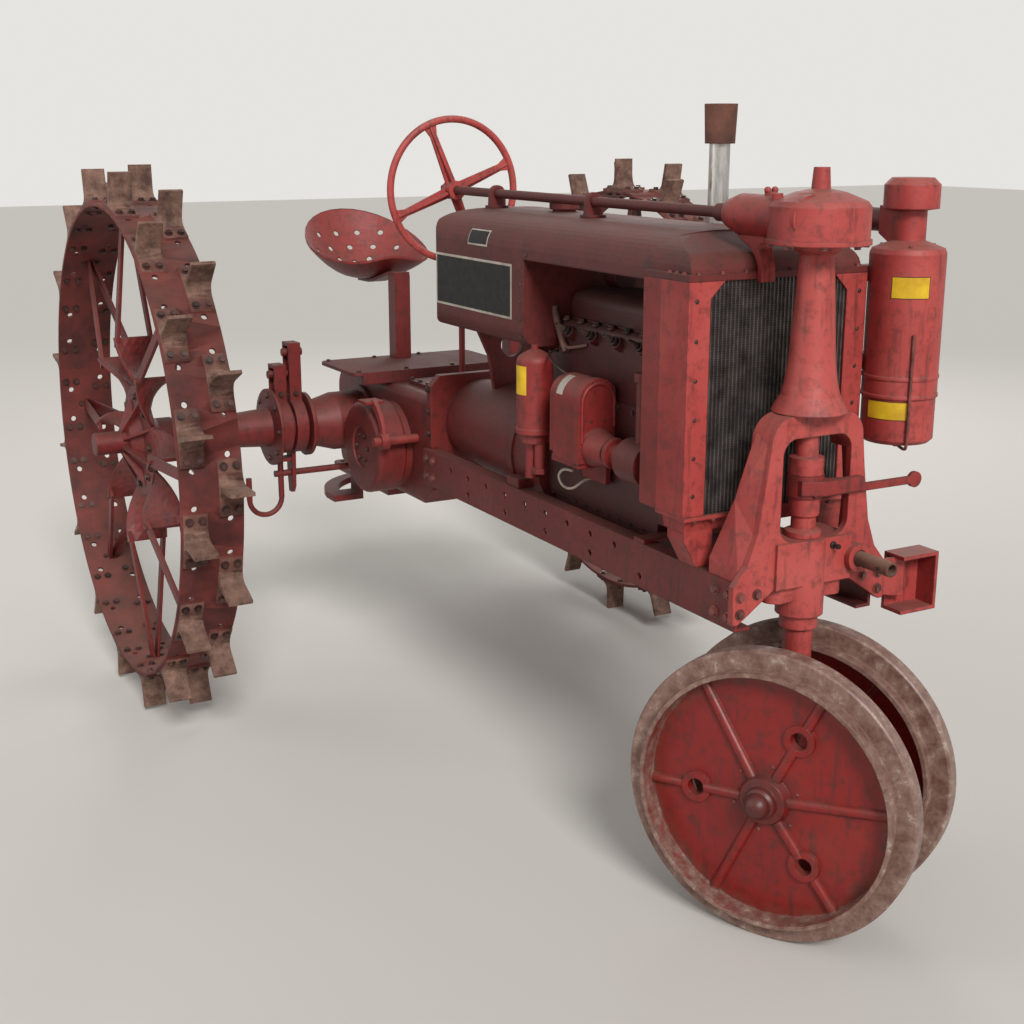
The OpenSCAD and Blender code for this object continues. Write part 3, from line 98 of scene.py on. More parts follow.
def make_camera():
    data = bpy.data.cameras.new("camera")
    data.lens = CAMERA_LENS
    data.sensor_width = SENSOR
    data.sensor_fit = "HORIZONTAL"
    data.clip_end = 100
    camera = bpy.data.objects.new("camera", data)
    camera.location = on_axle(*CAMERA_AT)
    camera.rotation_euler = Euler((math.radians(90 - CAMERA_DOWN), 0, math.radians(CAMERA_HEADING - 90)))
    bpy.context.scene.collection.objects.link(camera)
    bpy.context.scene.camera = camera


# Node trees, for materials and for geometry
def linear(hex_colour):
    """An sRGB hex colour as the linear one that a shader takes."""
    channels = [int(hex_colour[k:k + 2], 16) / 255 for k in (1, 3, 5)]
    return tuple(c / 12.92 if c <= 0.04045 else ((c + 0.055) / 1.055) ** 2.4 for c in channels) + (1.0,)


def add(tree, kind, inputs=None, output=None, **settings):
    """Adds a node, sets its settings, and sets or links its inputs.
    Gives back the output of that name, or else the first one that the node uses."""
    node = tree.nodes.new(kind)
    for name, value in settings.items():
        setattr(node, name, value)
    named = {socket.name: socket for socket in node.inputs if socket.enabled}
    for key, value in (inputs or {}).items():
        socket = node.inputs[key] if isinstance(key, int) else named[key]
        for one in value if isinstance(value, list) else [value]:
            if isinstance(one, bpy.types.NodeSocket):
                tree.links.new(one, socket)
            else:
                socket.default_value = one
    if output:
        return node.outputs[output]
    return next((socket for socket in node.outputs if socket.enabled), None)


def new_material(name):
    """A new material, its empty tree, and where each point of its surface is on the tractor."""
    material = bpy.data.materials.new(name)
    material.use_nodes = True
    tree = material.node_tree
    tree.nodes.clear()
    return material, tree, add(tree, "ShaderNodeTexCoord", output="Object")


# Masks, from 0 to 1, that say where a coat of colour lies
def blotches(tree, where, size_mm, low, high, most=1.0, least=0.0, detail=6, roughness=0.6):
    """Blotches about size_mm across: least where the noise is under low, most where it is over high."""
    grain = add(tree, "ShaderNodeTexNoise", {"Vector": where, "Scale": 1 / (size_mm * MM), "Detail": detail,
                                             "Roughness": roughness})
    return add(tree, "ShaderNodeMapRange", {"Value": grain, "From Min": low, "From Max": high,
                                            "To Min": least, "To Max": most})


def torn_edge(tree, where, radius, size_mm, spread, start, full, most=1.0, detail=8, roughness=0.7):
    """Starts at one radius in millimetres and is full at the next, both made ragged by up to spread."""
    grain = add(tree, "ShaderNodeTexNoise", {"Vector": where, "Scale": 1 / (size_mm * MM), "Detail": detail,
                                             "Roughness": roughness})
    ragged = add(tree, "ShaderNodeMath", {0: grain, 1: spread, 2: radius}, operation="MULTIPLY_ADD")
    return add(tree, "ShaderNodeMapRange", {"Value": ragged, "From Min": start, "From Max": full,
                                            "To Max": most})


def facing(tree, axis, low, high, most=1.0):
    """0 on faces that look away from an axis of the tractor, and most on faces that look along it."""
    normal = add(tree, "ShaderNodeNewGeometry", output="Normal")
    along = add(tree, "ShaderNodeSeparateXYZ", {"Vector": normal}, output=axis)
    return add(tree, "ShaderNodeMapRange", {"Value": along, "From Min": low, "From Max": high,
                                            "To Max": most})


def sunned_and_lit_fronts(tree):
    """Fronts, which the sun has reached and faded, and which are made lighter as painted light from the
    front.
    """
    return facing(tree, "X", 0.0, 0.9, 0.6)


def level_top(tree, most=1.0):
    """Tops that are level enough for dust to lie on."""
    return facing(tree, "Z", 0.2, 0.95, most)


def softened(tree, radius_mm):
    """A normal that rounds edges by radius_mm, and a mask that is 1 on those edges and 0 where it is flat."""
    soft = add(tree, "ShaderNodeBevel", {"Radius": radius_mm * MM}, samples=4)
    sharp = add(tree, "ShaderNodeNewGeometry", output="Normal")
    same = add(tree, "ShaderNodeVectorMath", {0: soft, 1: sharp}, operation="DOT_PRODUCT")
    return soft, add(tree, "ShaderNodeMapRange", {"Value": same, "From Min": 0.985, "From Max": 0.86})


def wheel_radius(tree, where, joint):
    """Distance in millimetres from the line that a wheel turns on."""
    arm = add(tree, "ShaderNodeVectorMath", {0: where, 1: tuple(joint["pos_m"])}, operation="SUBTRACT")
    across = add(tree, "ShaderNodeVectorMath", {0: arm, 1: tuple(joint["axis"])}, operation="CROSS_PRODUCT")
    metres = add(tree, "ShaderNodeVectorMath", {0: across}, operation="LENGTH")
    return add(tree, "ShaderNodeMath", {0: metres, 1: 1 / MM}, operation="MULTIPLY")


def coats(tree, first, *layers):
    """Lays one colour on another, each where its mask is 1."""
    colour = linear(first) if isinstance(first, str) else first
    for mask, over in layers:
        over = linear(over) if isinstance(over, str) else over
        colour = add(tree, "ShaderNodeMix", {"Factor": mask, "A": colour, "B": over}, data_type="RGBA")
    return colour


# Enamels. wear is how far edges and chips are rubbed bare, dusty how thick the dust on a top is
# The second, paler colour goes on sun-faded patches and, as painted light, on faces that look forward
Paint = namedtuple("Paint", "fresh faded bare dust wear dusty rough")
# Old oil enamel in full sun: chalky coral red
SUN_FADED = Paint("#80201d", "#b84843", "#40201b", "#97776a", 0.55, 0.4, 0.5)
# The same enamel out of the sun: its colours darkened as painted shade, for parts that sit in shade
SHADED = Paint("#6a1715", "#902b27", "#331916", "#7d6055", 0.5, 0.4, 0.5)
# Hood and tank sheet: paint gone brown, under years of dust
SHEET = Paint("#461513", "#6e2521", "#2a1815", "#614339", 0.5, 0.5, 0.6)
# Iron round the engine: paint soaked with old oil
OILY = Paint("#360f0f", "#581a17", "#1f1312", "#57433a", 0.5, 0.45, 0.42)
# Castings behind the engine: darkened paint that still reads red
CASTING = Paint("#521311", "#7c2420", "#28160f", "#5d443a", 0.55, 0.45, 0.5)
# Front wheel discs: repainted, so the deepest and glossiest red on the tractor
DISC = Paint("#74120f", "#8a1a16", "#35201b", "#7d5c4f", 0.5, 0.35, 0.36)
# How far across the paint's patches of fading, dust, grime, runs and chips are, in millimetres
FADING, DUST, GRIME, RUNS, CHIPS = 220, 90, 28, 16, 7
# Runs are drawn out downwards by this much
RUN_SQUEEZE = 0.12


def enamel_coats(tree, where, paint, edge):
    """The colour of weathered enamel, and how much dust has settled on it."""
    down = add(tree, "ShaderNodeMapping", {"Vector": where, "Scale": (1, 1, RUN_SQUEEZE)})
    patches = blotches(tree, where, FADING, 0.36, 0.66, 0.4, detail=4)
    # Painted light: faces that look forward take the paler colour as if lit from the front, added to the real
    # sun-faded patches
    chalky_and_lit = add(tree, "ShaderNodeMath", {0: sunned_and_lit_fronts(tree), 1: patches}, operation="ADD")
    grime = blotches(tree, where, GRIME, 0.5, 0.68, 0.6, detail=8, roughness=0.7)
    runs = blotches(tree, down, RUNS, 0.55, 0.7, 0.55)
    chips = blotches(tree, where, CHIPS, 0.66 - 0.06 * paint.wear, 0.72, 0.6, roughness=0.75)
    handled = blotches(tree, where, GRIME, 0.42, 0.6, 1.3 * paint.wear, detail=8, roughness=0.7)
    rubbed = add(tree, "ShaderNodeMath", {0: edge, 1: handled}, operation="MULTIPLY")
    bared = add(tree, "ShaderNodeMath", {0: chips, 1: rubbed}, operation="MAXIMUM")
    lying = blotches(tree, where, DUST, 0.3, 0.62, paint.dusty, 0.35 * paint.dusty)
    settled = add(tree, "ShaderNodeMath", {0: level_top(tree), 1: lying}, operation="MULTIPLY")
    haze = blotches(tree, where, FADING, 0.5, 0.8, 0.35 * paint.dusty, detail=4)
    film = add(tree, "ShaderNodeMath", {0: settled, 1: haze}, operation="MAXIMUM")
    colour = coats(tree, paint.fresh, (chalky_and_lit, paint.faded), (grime, paint.bare), (runs, paint.bare),
                   (bared, paint.bare), (film, paint.dust))
    return colour, settled


def finish_enamel(tree, where, colour, settled, soft, rough):
    """Gives the enamel its brushed, chipped surface, matt where dust has settled."""
    grain = add(tree, "ShaderNodeTexNoise", {"Vector": where, "Scale": 1 / (CHIPS * MM), "Detail": 6,
                                             "Roughness": 0.75})
    matt = add(tree, "ShaderNodeMath", {0: grain, 1: 0.25, 2: rough - 0.1}, operation="MULTIPLY_ADD")
    matt = add(tree, "ShaderNodeMath", {0: settled, 1: 0.4, 2: matt}, operation="MULTIPLY_ADD",
               use_clamp=True)
    bump = add(tree, "ShaderNodeBump", {"Height": grain, "Strength": 0.18, "Distance": 0.8 * MM,
                                        "Normal": soft})
    shader = add(tree, "ShaderNodeBsdfPrincipled", {"Base Color": colour, "Roughness": matt, "IOR": 1.5,
                                                    "Normal": bump})
    add(tree, "ShaderNodeOutputMaterial", {"Surface": shader})


def weathered_enamel(name, paint):
    """Oil enamel brushed on iron: chalky where the sun took it, and lighter on faces that look forward as
    painted light; rust on its edges, dust on its tops.
    """
    material, tree, where = new_material(name)
    soft, edge = softened(tree, 4)
    colour, settled = enamel_coats(tree, where, paint, edge)
    finish_enamel(tree, where, colour, settled, soft, paint.rough)
    return material


# Radii on the wheels in millimetres: where a front rim starts, and where a rear wheel's lugs start
FRONT_RIM, REAR_LUGS = 273, 696
# Where mud on a front disc starts and is full, outwards, and where grease round its hub does, inwards
MUD_REACH, GREASE_REACH = (285, 330), (135, 70)


def front_wheel_enamel(name, joint):
    """Enamel on a pressed disc, glossy and deep red. On the rim it has let go in pale flakes over rust."""
    material, tree, where = new_material(name)
    soft, edge = softened(tree, 3)
    colour, settled = enamel_coats(tree, where, DISC, edge)
    radius = wheel_radius(tree, where, joint)
    rim = coats(tree, "#6b4a41",
                (blotches(tree, where, 34, 0.38, 0.58, detail=10, roughness=0.72), "#8d7064"),
                (blotches(tree, where, 34, 0.58, 0.64, detail=10, roughness=0.72), "#a8958a"),
                (blotches(tree, where, 13, 0.56, 0.7, 0.7, detail=8, roughness=0.75), "#4a3026"))
    on_rim = torn_edge(tree, where, radius, 24, 26, FRONT_RIM + 8, FRONT_RIM + 14)
    splashed = torn_edge(tree, where, radius, 34, 90, *MUD_REACH, 0.55, detail=10, roughness=0.72)
    on_disc = add(tree, "ShaderNodeMapRange", {"Value": radius, "From Min": FRONT_RIM,
                                               "From Max": FRONT_RIM - 1})
    mud = add(tree, "ShaderNodeMath", {0: splashed, 1: on_disc}, operation="MULTIPLY")
    grease = torn_edge(tree, where, radius, 50, 90, *GREASE_REACH, 0.75)
    colour = coats(tree, colour, (on_rim, rim), (mud, "#6d4a3d"), (grease, "#371c18"))
    finish_enamel(tree, where, colour, settled, soft, DISC.rough)
    return material


Lugs = namedtuple("Lugs", "joint start dark light")


def rusted_steel(name, dark, light, dust, grain_mm=5, dusty=0.4, lugs=None):
    """Rolled steel that has rusted through its paint: matt and pitted, in browns that run together.
    lugs gives a wheel's joint, the radius past which its lugs start, and their own two browns."""
    material, tree, where = new_material(name)
    soft, edge = softened(tree, 3)
    pits = add(tree, "ShaderNodeTexNoise", {"Vector": where, "Scale": 1 / (grain_mm * MM), "Detail": 8,
                                            "Roughness": 0.75})
    colour = coats(tree, dark, (blotches(tree, where, 120, 0.35, 0.65, roughness=0.65), light))
    if lugs:
        radius = wheel_radius(tree, where, lugs.joint)
        past = torn_edge(tree, where, radius, 120, 10, lugs.start, lugs.start + 8, detail=6, roughness=0.65)
        bare = coats(tree, lugs.dark,
                     (blotches(tree, where, 45, 0.38, 0.62, detail=8, roughness=0.7), lugs.light))
        colour = coats(tree, colour, (past, bare))
    pitted = blotches(tree, where, grain_mm, 0.45, 0.75, 0.5, detail=8, roughness=0.75)
    rubbed = add(tree, "ShaderNodeMath", {0: edge, 1: 0.35}, operation="MULTIPLY")
    colour = coats(tree, colour, (pitted, dark), (rubbed, light), (level_top(tree, dusty), dust))
    bump = add(tree, "ShaderNodeBump", {"Height": pits, "Strength": 0.35, "Distance": 1.0 * MM,
                                        "Normal": soft})
    shader = add(tree, "ShaderNodeBsdfPrincipled", {"Base Color": colour, "Roughness": 0.8, "IOR": 1.5,
                                                    "Normal": bump})
    add(tree, "ShaderNodeOutputMaterial", {"Surface": shader})
    return material


def galvanised_pipe(name):
    """Hot-dipped water pipe, used as a new exhaust stack: grey zinc, soft flow marks and a few rust runs."""
    material, tree, where = new_material(name)
    down = add(tree, "ShaderNodeMapping", {"Vector": where, "Scale": (1, 1, 0.15)})
    flow = blotches(tree, down, 14, 0.35, 0.7, roughness=0.7)
    rust = blotches(tree, down, 24, 0.6, 0.7, detail=8, roughness=0.7)
    colour = coats(tree, "#d4d2ce", (flow, "#98938c"), (rust, "#7a5644"))
    shader = add(tree, "ShaderNodeBsdfPrincipled", {"Base Color": colour, "Roughness": 0.36, "Metallic": 0.8})
    add(tree, "ShaderNodeOutputMaterial", {"Surface": shader})
    return material


def dulled(name, light, dark, rough, metallic, grain_mm=6):
    """A small thing's finish gone dull: two close tones of one colour, with blotches of grime."""
    material, tree, where = new_material(name)
    grain = add(tree, "ShaderNodeTexNoise", {"Vector": where, "Scale": 1 / (grain_mm * MM), "Detail": 8,
                                             "Roughness": 0.7})
    grime = blotches(tree, where, grain_mm, 0.5, 0.75, 0.6, detail=8, roughness=0.7)
    colour = coats(tree, light, (blotches(tree, where, 40, 0.35, 0.65), dark), (grime, dark))
    uneven = blotches(tree, where, grain_mm, 0.3, 0.7, rough + 0.12, rough - 0.08, detail=8, roughness=0.7)
    bump = add(tree, "ShaderNodeBump", {"Height": grain, "Strength": 0.12, "Distance": 0.5 * MM})
    shader = add(tree, "ShaderNodeBsdfPrincipled", {"Base Color": colour, "Roughness": uneven,
                                                    "Metallic": metallic, "Normal": bump})
    add(tree, "ShaderNodeOutputMaterial", {"Surface": shader})
    return material


# Brushed oil enamels, one for each way that the years have used the paint, and one darker copy as painted
# shade
FRESH_RED = weathered_enamel("sun_faded_red_enamel", SUN_FADED)
SHADED_RED = weathered_enamel("shaded_red_enamel", SHADED)
SHEET_RED = weathered_enamel("dusty_brown_red_enamel", SHEET)
OILY_RED = weathered_enamel("oil_soaked_enamel", OILY)
CAST_RED = weathered_enamel("darkened_red_enamel", CASTING)
# Exhaust iron, burnt bare and rusted: orange brown and quite matt
RUST = rusted_steel("rusted_steel", "#4a2f26", "#80503f", "#9a8270")
# Zinc on water pipe: the one pale, shining thing above the hood
PIPE = galvanised_pipe("galvanised_steel_pipe")
# Soldered brass under soot: nearly black, with hardly a shine
CORE = dulled("sooty_radiator_brass", "#2c2625", "#1c1818", 0.6, 0.3)
# Rolled copper gone brown: thin grey-brown lines with a faint glint
FINS = dulled("tarnished_copper_fins", "#726a66", "#3a3230", 0.45, 0.6, 9)
# Forged steel bolts painted over with the frame: dull, a little paler than the paint round them
BOLT = dulled("painted_steel_bolt", "#8d4a43", "#4a2c26", 0.5, 0.1)
# Forged steel bolts under old grease: dark, with a slight wet look
DARK_BOLT = dulled("greasy_steel_bolt", "#5d3a34", "#2b201d", 0.45, 0.3)
# Stove enamel on stamped plates: black gone matt
BLACK = dulled("black_enamel_plate", "#11100f", "#0b0a0a", 0.7, 0.0, 20)
# Printed vinyl, newer than the rest: even yellow with a soft gloss
YELLOW = dulled("yellow_vinyl_label", "#e3bb22", "#c79b1a", 0.4, 0.0, 30)
# Cream printing ink and cloth sleeve, yellowed by light: pale and flat
PALE = dulled("pale_printed_line", "#b9b0a4", "#968c81", 0.5, 0.0, 30)
# Linkage enamel under dust that nobody wiped off: flat brown
DUSTY = dulled("dusty_old_paint", "#7d5a50", "#573a33", 0.7, 0.0, 12)
# Drawn steel with black rust: dark and half dull
STEEL_ROD = dulled("rusty_black_rod", "#3b2d29", "#231a18", 0.5, 0.4)
# Glazed porcelain under brown dust: the smoothest shine on the engine
CLAY = dulled("dusty_brown_porcelain", "#6a5348", "#45342d", 0.3, 0.0)

# Finishes of the nodes. A node that isn't named is sun-faded red
NODE_FINISH = {}
for finish, nodes in (
        (SHEET_RED, "radiator_top_tank hood fuel_tank fuel_cap shaft_supports platform steering_shaft"),
        # Parts that sit in shade take the darker enamel: painted shade
        (SHADED_RED, "fan_shroud magneto oil_filter seat levers"),
        (CAST_RED, "frame_rail_right frame_rail_left timing_cover air_pipe bell_housing gearbox "
                   "axle_housing_right axle_housing_left axle_brackets drawbar seat_support "
                   "rear_centre_right rear_centre_left"),
        (OILY_RED, "engine_block valve_cover oil_pan fan"),
        (RUST, "exhaust_manifold exhaust_can"),
        (PIPE, "exhaust_pipe"),
        (CORE, "radiator_core")):
    NODE_FINISH.update({node: finish for node in nodes.split()})
# Rear rims keep some red under their rust, and the lugs are worn to bare brown
for word in ("right", "left"):
    NODE_FINISH["front_wheel_" + word] = front_wheel_enamel("worn_%s_wheel_enamel" % word,
                                                            JOINTS["front_wheel_%s_turns" % word])
    NODE_FINISH["rear_rim_" + word] = rusted_steel(
        "rusted_%s_rear_rim" % word, "#421a17", "#742c26", "#745648", 6, 0.3,
        Lugs(JOINTS["rear_wheel_%s_turns" % word], REAR_LUGS, "#4e362d", "#8c6b5b"))


def dress_nodes():
    for part in frame["record"]["subparts"]:
        mesh = frame["nodes"][part["node"]].data
        mesh.materials.clear()
        mesh.materials.append(NODE_FINISH.get(part["node"], FRESH_RED))


# Making pieces
def new_piece(name, mesh, body, material=None):
    """Puts a mesh in the scene, on its body. A mesh that a tree made has its material already."""
    piece = bpy.data.objects.new(name, mesh)
    bpy.context.scene.collection.objects.link(piece)
    if material:
        mesh.materials.clear()
        mesh.materials.append(material)
    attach(piece, body)
    return piece


def shade(mesh, degrees):
    """Smooth shading, with sharp edges where faces meet at more than this angle."""
    mesh.shade_smooth()
    mesh.set_sharp_from_angle(angle=math.radians(degrees))


def solid_mesh(name, points, faces):
    """A mesh from points in on_axle's millimetres, with its normals turned outwards."""
    mesh = bpy.data.meshes.new(name)
    mesh.from_pydata([on_axle(*p) for p in points], [], faces)
    work = bmesh.new()
    work.from_mesh(mesh)
    bmesh.ops.remove_doubles(work, verts=work.verts, dist=1e-6)
    bmesh.ops.recalc_face_normals(work, faces=work.faces)
    work.to_mesh(mesh)
    work.free()
    shade(mesh, 35)
    return mesh


def turned(name, outline, at, aim, sides=24):
    """A turned piece: outline is a list of radius and height, from one pole to the other, along aim."""
    turn = Vector(aim).to_track_quat("Z", "Y").to_matrix()
    points, faces = [], []
    for radius, height in outline:
        for k in range(sides):
            a = 2 * math.pi * k / sides
            points.append(Vector(at) + turn @ Vector((radius * math.cos(a), radius * math.sin(a), height)))
    for i in range(len(outline) - 1):
        for k in range(sides):
            j = (k + 1) % sides
            faces.append((i * sides + k, i * sides + j, (i + 1) * sides + j, (i + 1) * sides + k))
    faces.append(tuple(range(sides)))
    faces.append(tuple(len(points) - sides + k for k in range(sides)))
    return solid_mesh(name, points, faces)


def rounded(corners, steps=6):
    """Points along a line that cuts each corner with a smooth bend."""
    corners = [Vector(c) for c in corners]
    middles = [(a + b) / 2 for a, b in zip(corners, corners[1:])]
    line = [corners[0]]
    for before, corner, after in zip(middles, corners[1:-1], middles[1:]):
        for k in range(steps + 1):
            t = k / steps
            line.append(before.lerp(corner, t).lerp(corner.lerp(after, t), t))
    return line + [corners[-1]]


def rod(name, line, radius):
    """A round rod along a line of points, closed at both ends."""
    curve = bpy.data.curves.new(name, "CURVE")
    curve.dimensions = "3D"
    curve.bevel_depth = radius * MM
    curve.bevel_resolution = 2
    curve.use_fill_caps = True
    spline = curve.splines.new("POLY")
    spline.points.add(len(line) - 1)
    for point, place in zip(spline.points, line):
        point.co = (*on_axle(*place), 1)
    holder = bpy.data.objects.new(name, curve)
    mesh = bpy.data.meshes.new_from_object(holder)
    bpy.data.objects.remove(holder)
    shade(mesh, 50)
    return mesh


def surface_of(node):
    """A node's surface, to find where a line meets it."""
    mesh = frame["nodes"][node].data
    return BVHTree.FromPolygons([v.co for v in mesh.vertices], [tuple(p.vertices) for p in mesh.polygons])


def meet(surface, start, aim):
    """Where a line from a point in millimetres meets a surface, in millimetres, and the surface's normal."""
    hit, normal, _, _ = surface.ray_cast(on_axle(*start), aim)
    return (hit - on_axle(0, 0, 0)) / MM, normal


SUNK = 0.3


def draped(name, node, middle, aim, up, wide, high, thick=0.5, columns=14, rows=6):
    """A thin sheet laid on a node: a flat grid in front of it, moved along aim until it meets the surface."""
    surface = surface_of(node)
    aim, up = Vector(aim).normalized(), Vector(up).normalized()
    across = aim.cross(up)
    inner, outer = [], []
    for j in range(rows + 1):
        for i in range(columns + 1):
            start = Vector(middle) + across * wide * (i / columns - 0.5) + up * high * (j / rows - 0.5)
            met, normal = meet(surface, start, aim)
            inner.append(met - normal * SUNK)
            outer.append(met + normal * thick)
    span, half = columns + 1, len(inner)
    cells = [j * span + i for j in range(rows) for i in range(columns)]
    faces = [(k, k + span, k + span + 1, k + 1) for k in cells]
    faces += [(half + k, half + k + 1, half + k + span + 1, half + k + span) for k in cells]
    rim = [(i + end, i + end + 1) for end in (0, rows * span) for i in range(columns)]
    rim += [(j * span + i, (j + 1) * span + i) for j in range(rows) for i in (0, columns)]
    faces += [(a, b, half + b, half + a) for a, b in rim]
    return solid_mesh(name, inner + outer, faces)


def slab(name, x, y, z):
    """A flat plate between two values on each axis."""
    points = [on_axle(x[i], y[j], z[k]) for i in (0, 1) for j in (0, 1) for k in (0, 1)]
    mesh = bpy.data.meshes.new(name)
    mesh.from_pydata(points, [], [(0, 1, 3, 2), (4, 6, 7, 5), (0, 4, 5, 1), (2, 3, 7, 6), (0, 2, 6, 4),
                                  (1, 5, 7, 3)])
    return mesh


# Geometry node trees
def new_tree(name, inputs):
    tree = bpy.data.node_groups.new(name, "GeometryNodeTree")
    tree.interface.new_socket("Geometry", in_out="INPUT", socket_type="NodeSocketGeometry")
    for label, kind in inputs:
        tree.interface.new_socket(label, in_out="INPUT", socket_type="NodeSocket" + kind)
    tree.interface.new_socket("Geometry", in_out="OUTPUT", socket_type="NodeSocketGeometry")
    return tree, tree.nodes.new("NodeGroupInput").outputs


def end_tree(tree, given, instances):
    real = add(tree, "GeometryNodeRealizeInstances", {"Geometry": instances})
    painted = add(tree, "GeometryNodeSetMaterial", {"Geometry": real, "Material": given["Material"]})
    add(tree, "NodeGroupOutput", {"Geometry": painted})
    return tree


def grown(name, mesh, tree, values):
    """The mesh that a tree makes from a mesh with these input values."""
    holder = bpy.data.objects.new(name, mesh)
    bpy.context.scene.collection.objects.link(holder)
    modifier = holder.modifiers.new("grow", "NODES")
    modifier.node_group = tree
    for item in tree.interface.items_tree:
        if item.in_out == "INPUT" and item.name in values:
            modifier[item.identifier] = values[item.name]
    bpy.context.view_layer.update()
    made = bpy.data.meshes.new_from_object(holder.evaluated_get(bpy.context.evaluated_depsgraph_get()))
    bpy.data.objects.remove(holder)
    return made


def fastener_tree():
    """Heads on points: a bolt's head on its washer, or a rivet's dome, at each point's own aim and size."""
    tree, given = new_tree("fasteners", [("Sides", "Int"), ("Head Radius", "Float"), ("Head Height", "Float"),
                                         ("Washer Radius", "Float"), ("Washer Thickness", "Float"),
                                         ("Round", "Bool"), ("Material", "Material")])
    washer = add(tree, "GeometryNodeMeshCylinder", {"Vertices": 14, "Radius": given["Washer Radius"],
                                                    "Depth": given["Washer Thickness"]})
    head = add(tree, "GeometryNodeMeshCylinder", {"Vertices": given["Sides"], "Radius": given["Head Radius"],
                                                  "Depth": given["Head Height"]})
    both = add(tree, "ShaderNodeMath", {0: given["Head Height"], 1: given["Washer Thickness"]},
               operation="ADD")
    # A little under half of both, so that the head bites into its washer
    rise = add(tree, "ShaderNodeMath", {0: both, 1: 0.49}, operation="MULTIPLY")
    lift = add(tree, "ShaderNodeCombineXYZ", {"Z": rise})
    head = add(tree, "GeometryNodeTransform", {"Geometry": head, "Translation": lift})
    bolt = add(tree, "GeometryNodeJoinGeometry", {"Geometry": [washer, head]})
    ball = add(tree, "GeometryNodeMeshUVSphere", {"Segments": 12, "Rings": 7, "Radius": given["Head Radius"]})
    dome = add(tree, "GeometryNodeTransform", {"Geometry": ball, "Scale": (1, 1, 0.55)})
    kind = add(tree, "GeometryNodeSwitch", {"Switch": given["Round"], "False": bolt, "True": dome},
               input_type="GEOMETRY")
    aim = add(tree, "GeometryNodeInputNamedAttribute", {"Name": "aim"}, data_type="FLOAT_VECTOR")
    size = add(tree, "GeometryNodeInputNamedAttribute", {"Name": "size"}, data_type="FLOAT")
    turn = add(tree, "FunctionNodeAlignRotationToVector", {"Vector": aim}, axis="Z")
    placed = add(tree, "GeometryNodeInstanceOnPoints", {"Points": given["Geometry"], "Instance": kind,
                                                        "Rotation": turn, "Scale": size})
    return end_tree(tree, given, placed)


def bar_tree():
    """Like bars side by side: each is a block of one size, at each point."""
    tree, given = new_tree("bars", [("Size", "Vector"), ("Material", "Material")])
    bar = add(tree, "GeometryNodeMeshCube", {"Size": given["Size"]})
    placed = add(tree, "GeometryNodeInstanceOnPoints", {"Points": given["Geometry"], "Instance": bar})
    return end_tree(tree, given, placed)


def drill_tree():
    """Round holes through a solid, one at each point and along the point's own turn."""
    tree, given = new_tree("drill", [("Solid", "Object"), ("Sides", "Int"), ("Hole Radius", "Float"),
                                     ("Hole Length", "Float"), ("Material", "Material")])
    bit = add(tree, "GeometryNodeMeshCylinder", {"Vertices": given["Sides"], "Radius": given["Hole Radius"],
                                                 "Depth": given["Hole Length"]})
    turn = add(tree, "GeometryNodeInputNamedAttribute", {"Name": "turn"}, data_type="QUATERNION")
    bits = add(tree, "GeometryNodeInstanceOnPoints", {"Points": given["Geometry"], "Instance": bit,
                                                      "Rotation": turn})
    loose = add(tree, "GeometryNodeObjectInfo", {"Object": given["Solid"]}, output="Geometry")
    whole = add(tree, "GeometryNodeMergeByDistance", {"Geometry": loose, "Distance": 0.001 * MM})
    cut = add(tree, "GeometryNodeMeshBoolean", {"Mesh 1": whole, "Mesh 2": bits}, operation="DIFFERENCE",
              solver="EXACT")
    return end_tree(tree, given, cut)


FASTENERS = fastener_tree()
BARS = bar_tree()
DRILL = drill_tree()
# A bolt's proportions to the radius of its head
HEAD_HEIGHT, WASHER_RADIUS, WASHER_THICKNESS = 0.75, 1.45, 0.5
# Long enough to pass through any sheet that is drilled
HOLE_LENGTH = 30


def fasteners(name, body, places, material, rivets=False):
    """places lists a point, the way that the head faces, and the head's radius in millimetres."""
    mesh = bpy.data.meshes.new(name)
    mesh.from_pydata([on_axle(*at) for at, aim, size in places], [], [])
    mesh.attributes.new("aim", "FLOAT_VECTOR", "POINT")
    mesh.attributes.new("size", "FLOAT", "POINT")
    for k, (at, aim, size) in enumerate(places):
        mesh.attributes["aim"].data[k].vector = aim
        mesh.attributes["size"].data[k].value = size
    made = grown(name, mesh, FASTENERS, {"Sides": 6, "Head Radius": MM, "Head Height": HEAD_HEIGHT * MM,
                                         "Washer Radius": WASHER_RADIUS * MM,
                                         "Washer Thickness": WASHER_THICKNESS * MM, "Round": rivets,
                                         "Material": material})
    for spare in ("aim", "size"):
        if spare in made.attributes:
            made.attributes.remove(made.attributes[spare])
    return new_piece(name, made, body)


def drilled(name, node, body, holes, radius):
    """Stands for a node, with round holes through it, each given by its middle and its direction."""
    mesh = bpy.data.meshes.new(name)
    mesh.from_pydata([on_axle(*at) for at, out in holes], [], [])
    mesh.attributes.new("turn", "QUATERNION", "POINT")
    for k, (at, out) in enumerate(holes):
        mesh.attributes["turn"].data[k].value = out.to_track_quat("Z", "Y")
    made = grown(name, mesh, DRILL, {"Solid": frame["nodes"][node], "Sides": 12, "Hole Radius": radius * MM,
                                     "Hole Length": HOLE_LENGTH * MM, "Material": NODE_FINISH[node]})
    shade(made, 30)
    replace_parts(new_piece(name, made, body), node)


def row(start, end, count, aim, size):
    """Places in a straight row from start to end."""
    return [(Vector(start).lerp(Vector(end), k / (count - 1)), aim, size) for k in range(count)]


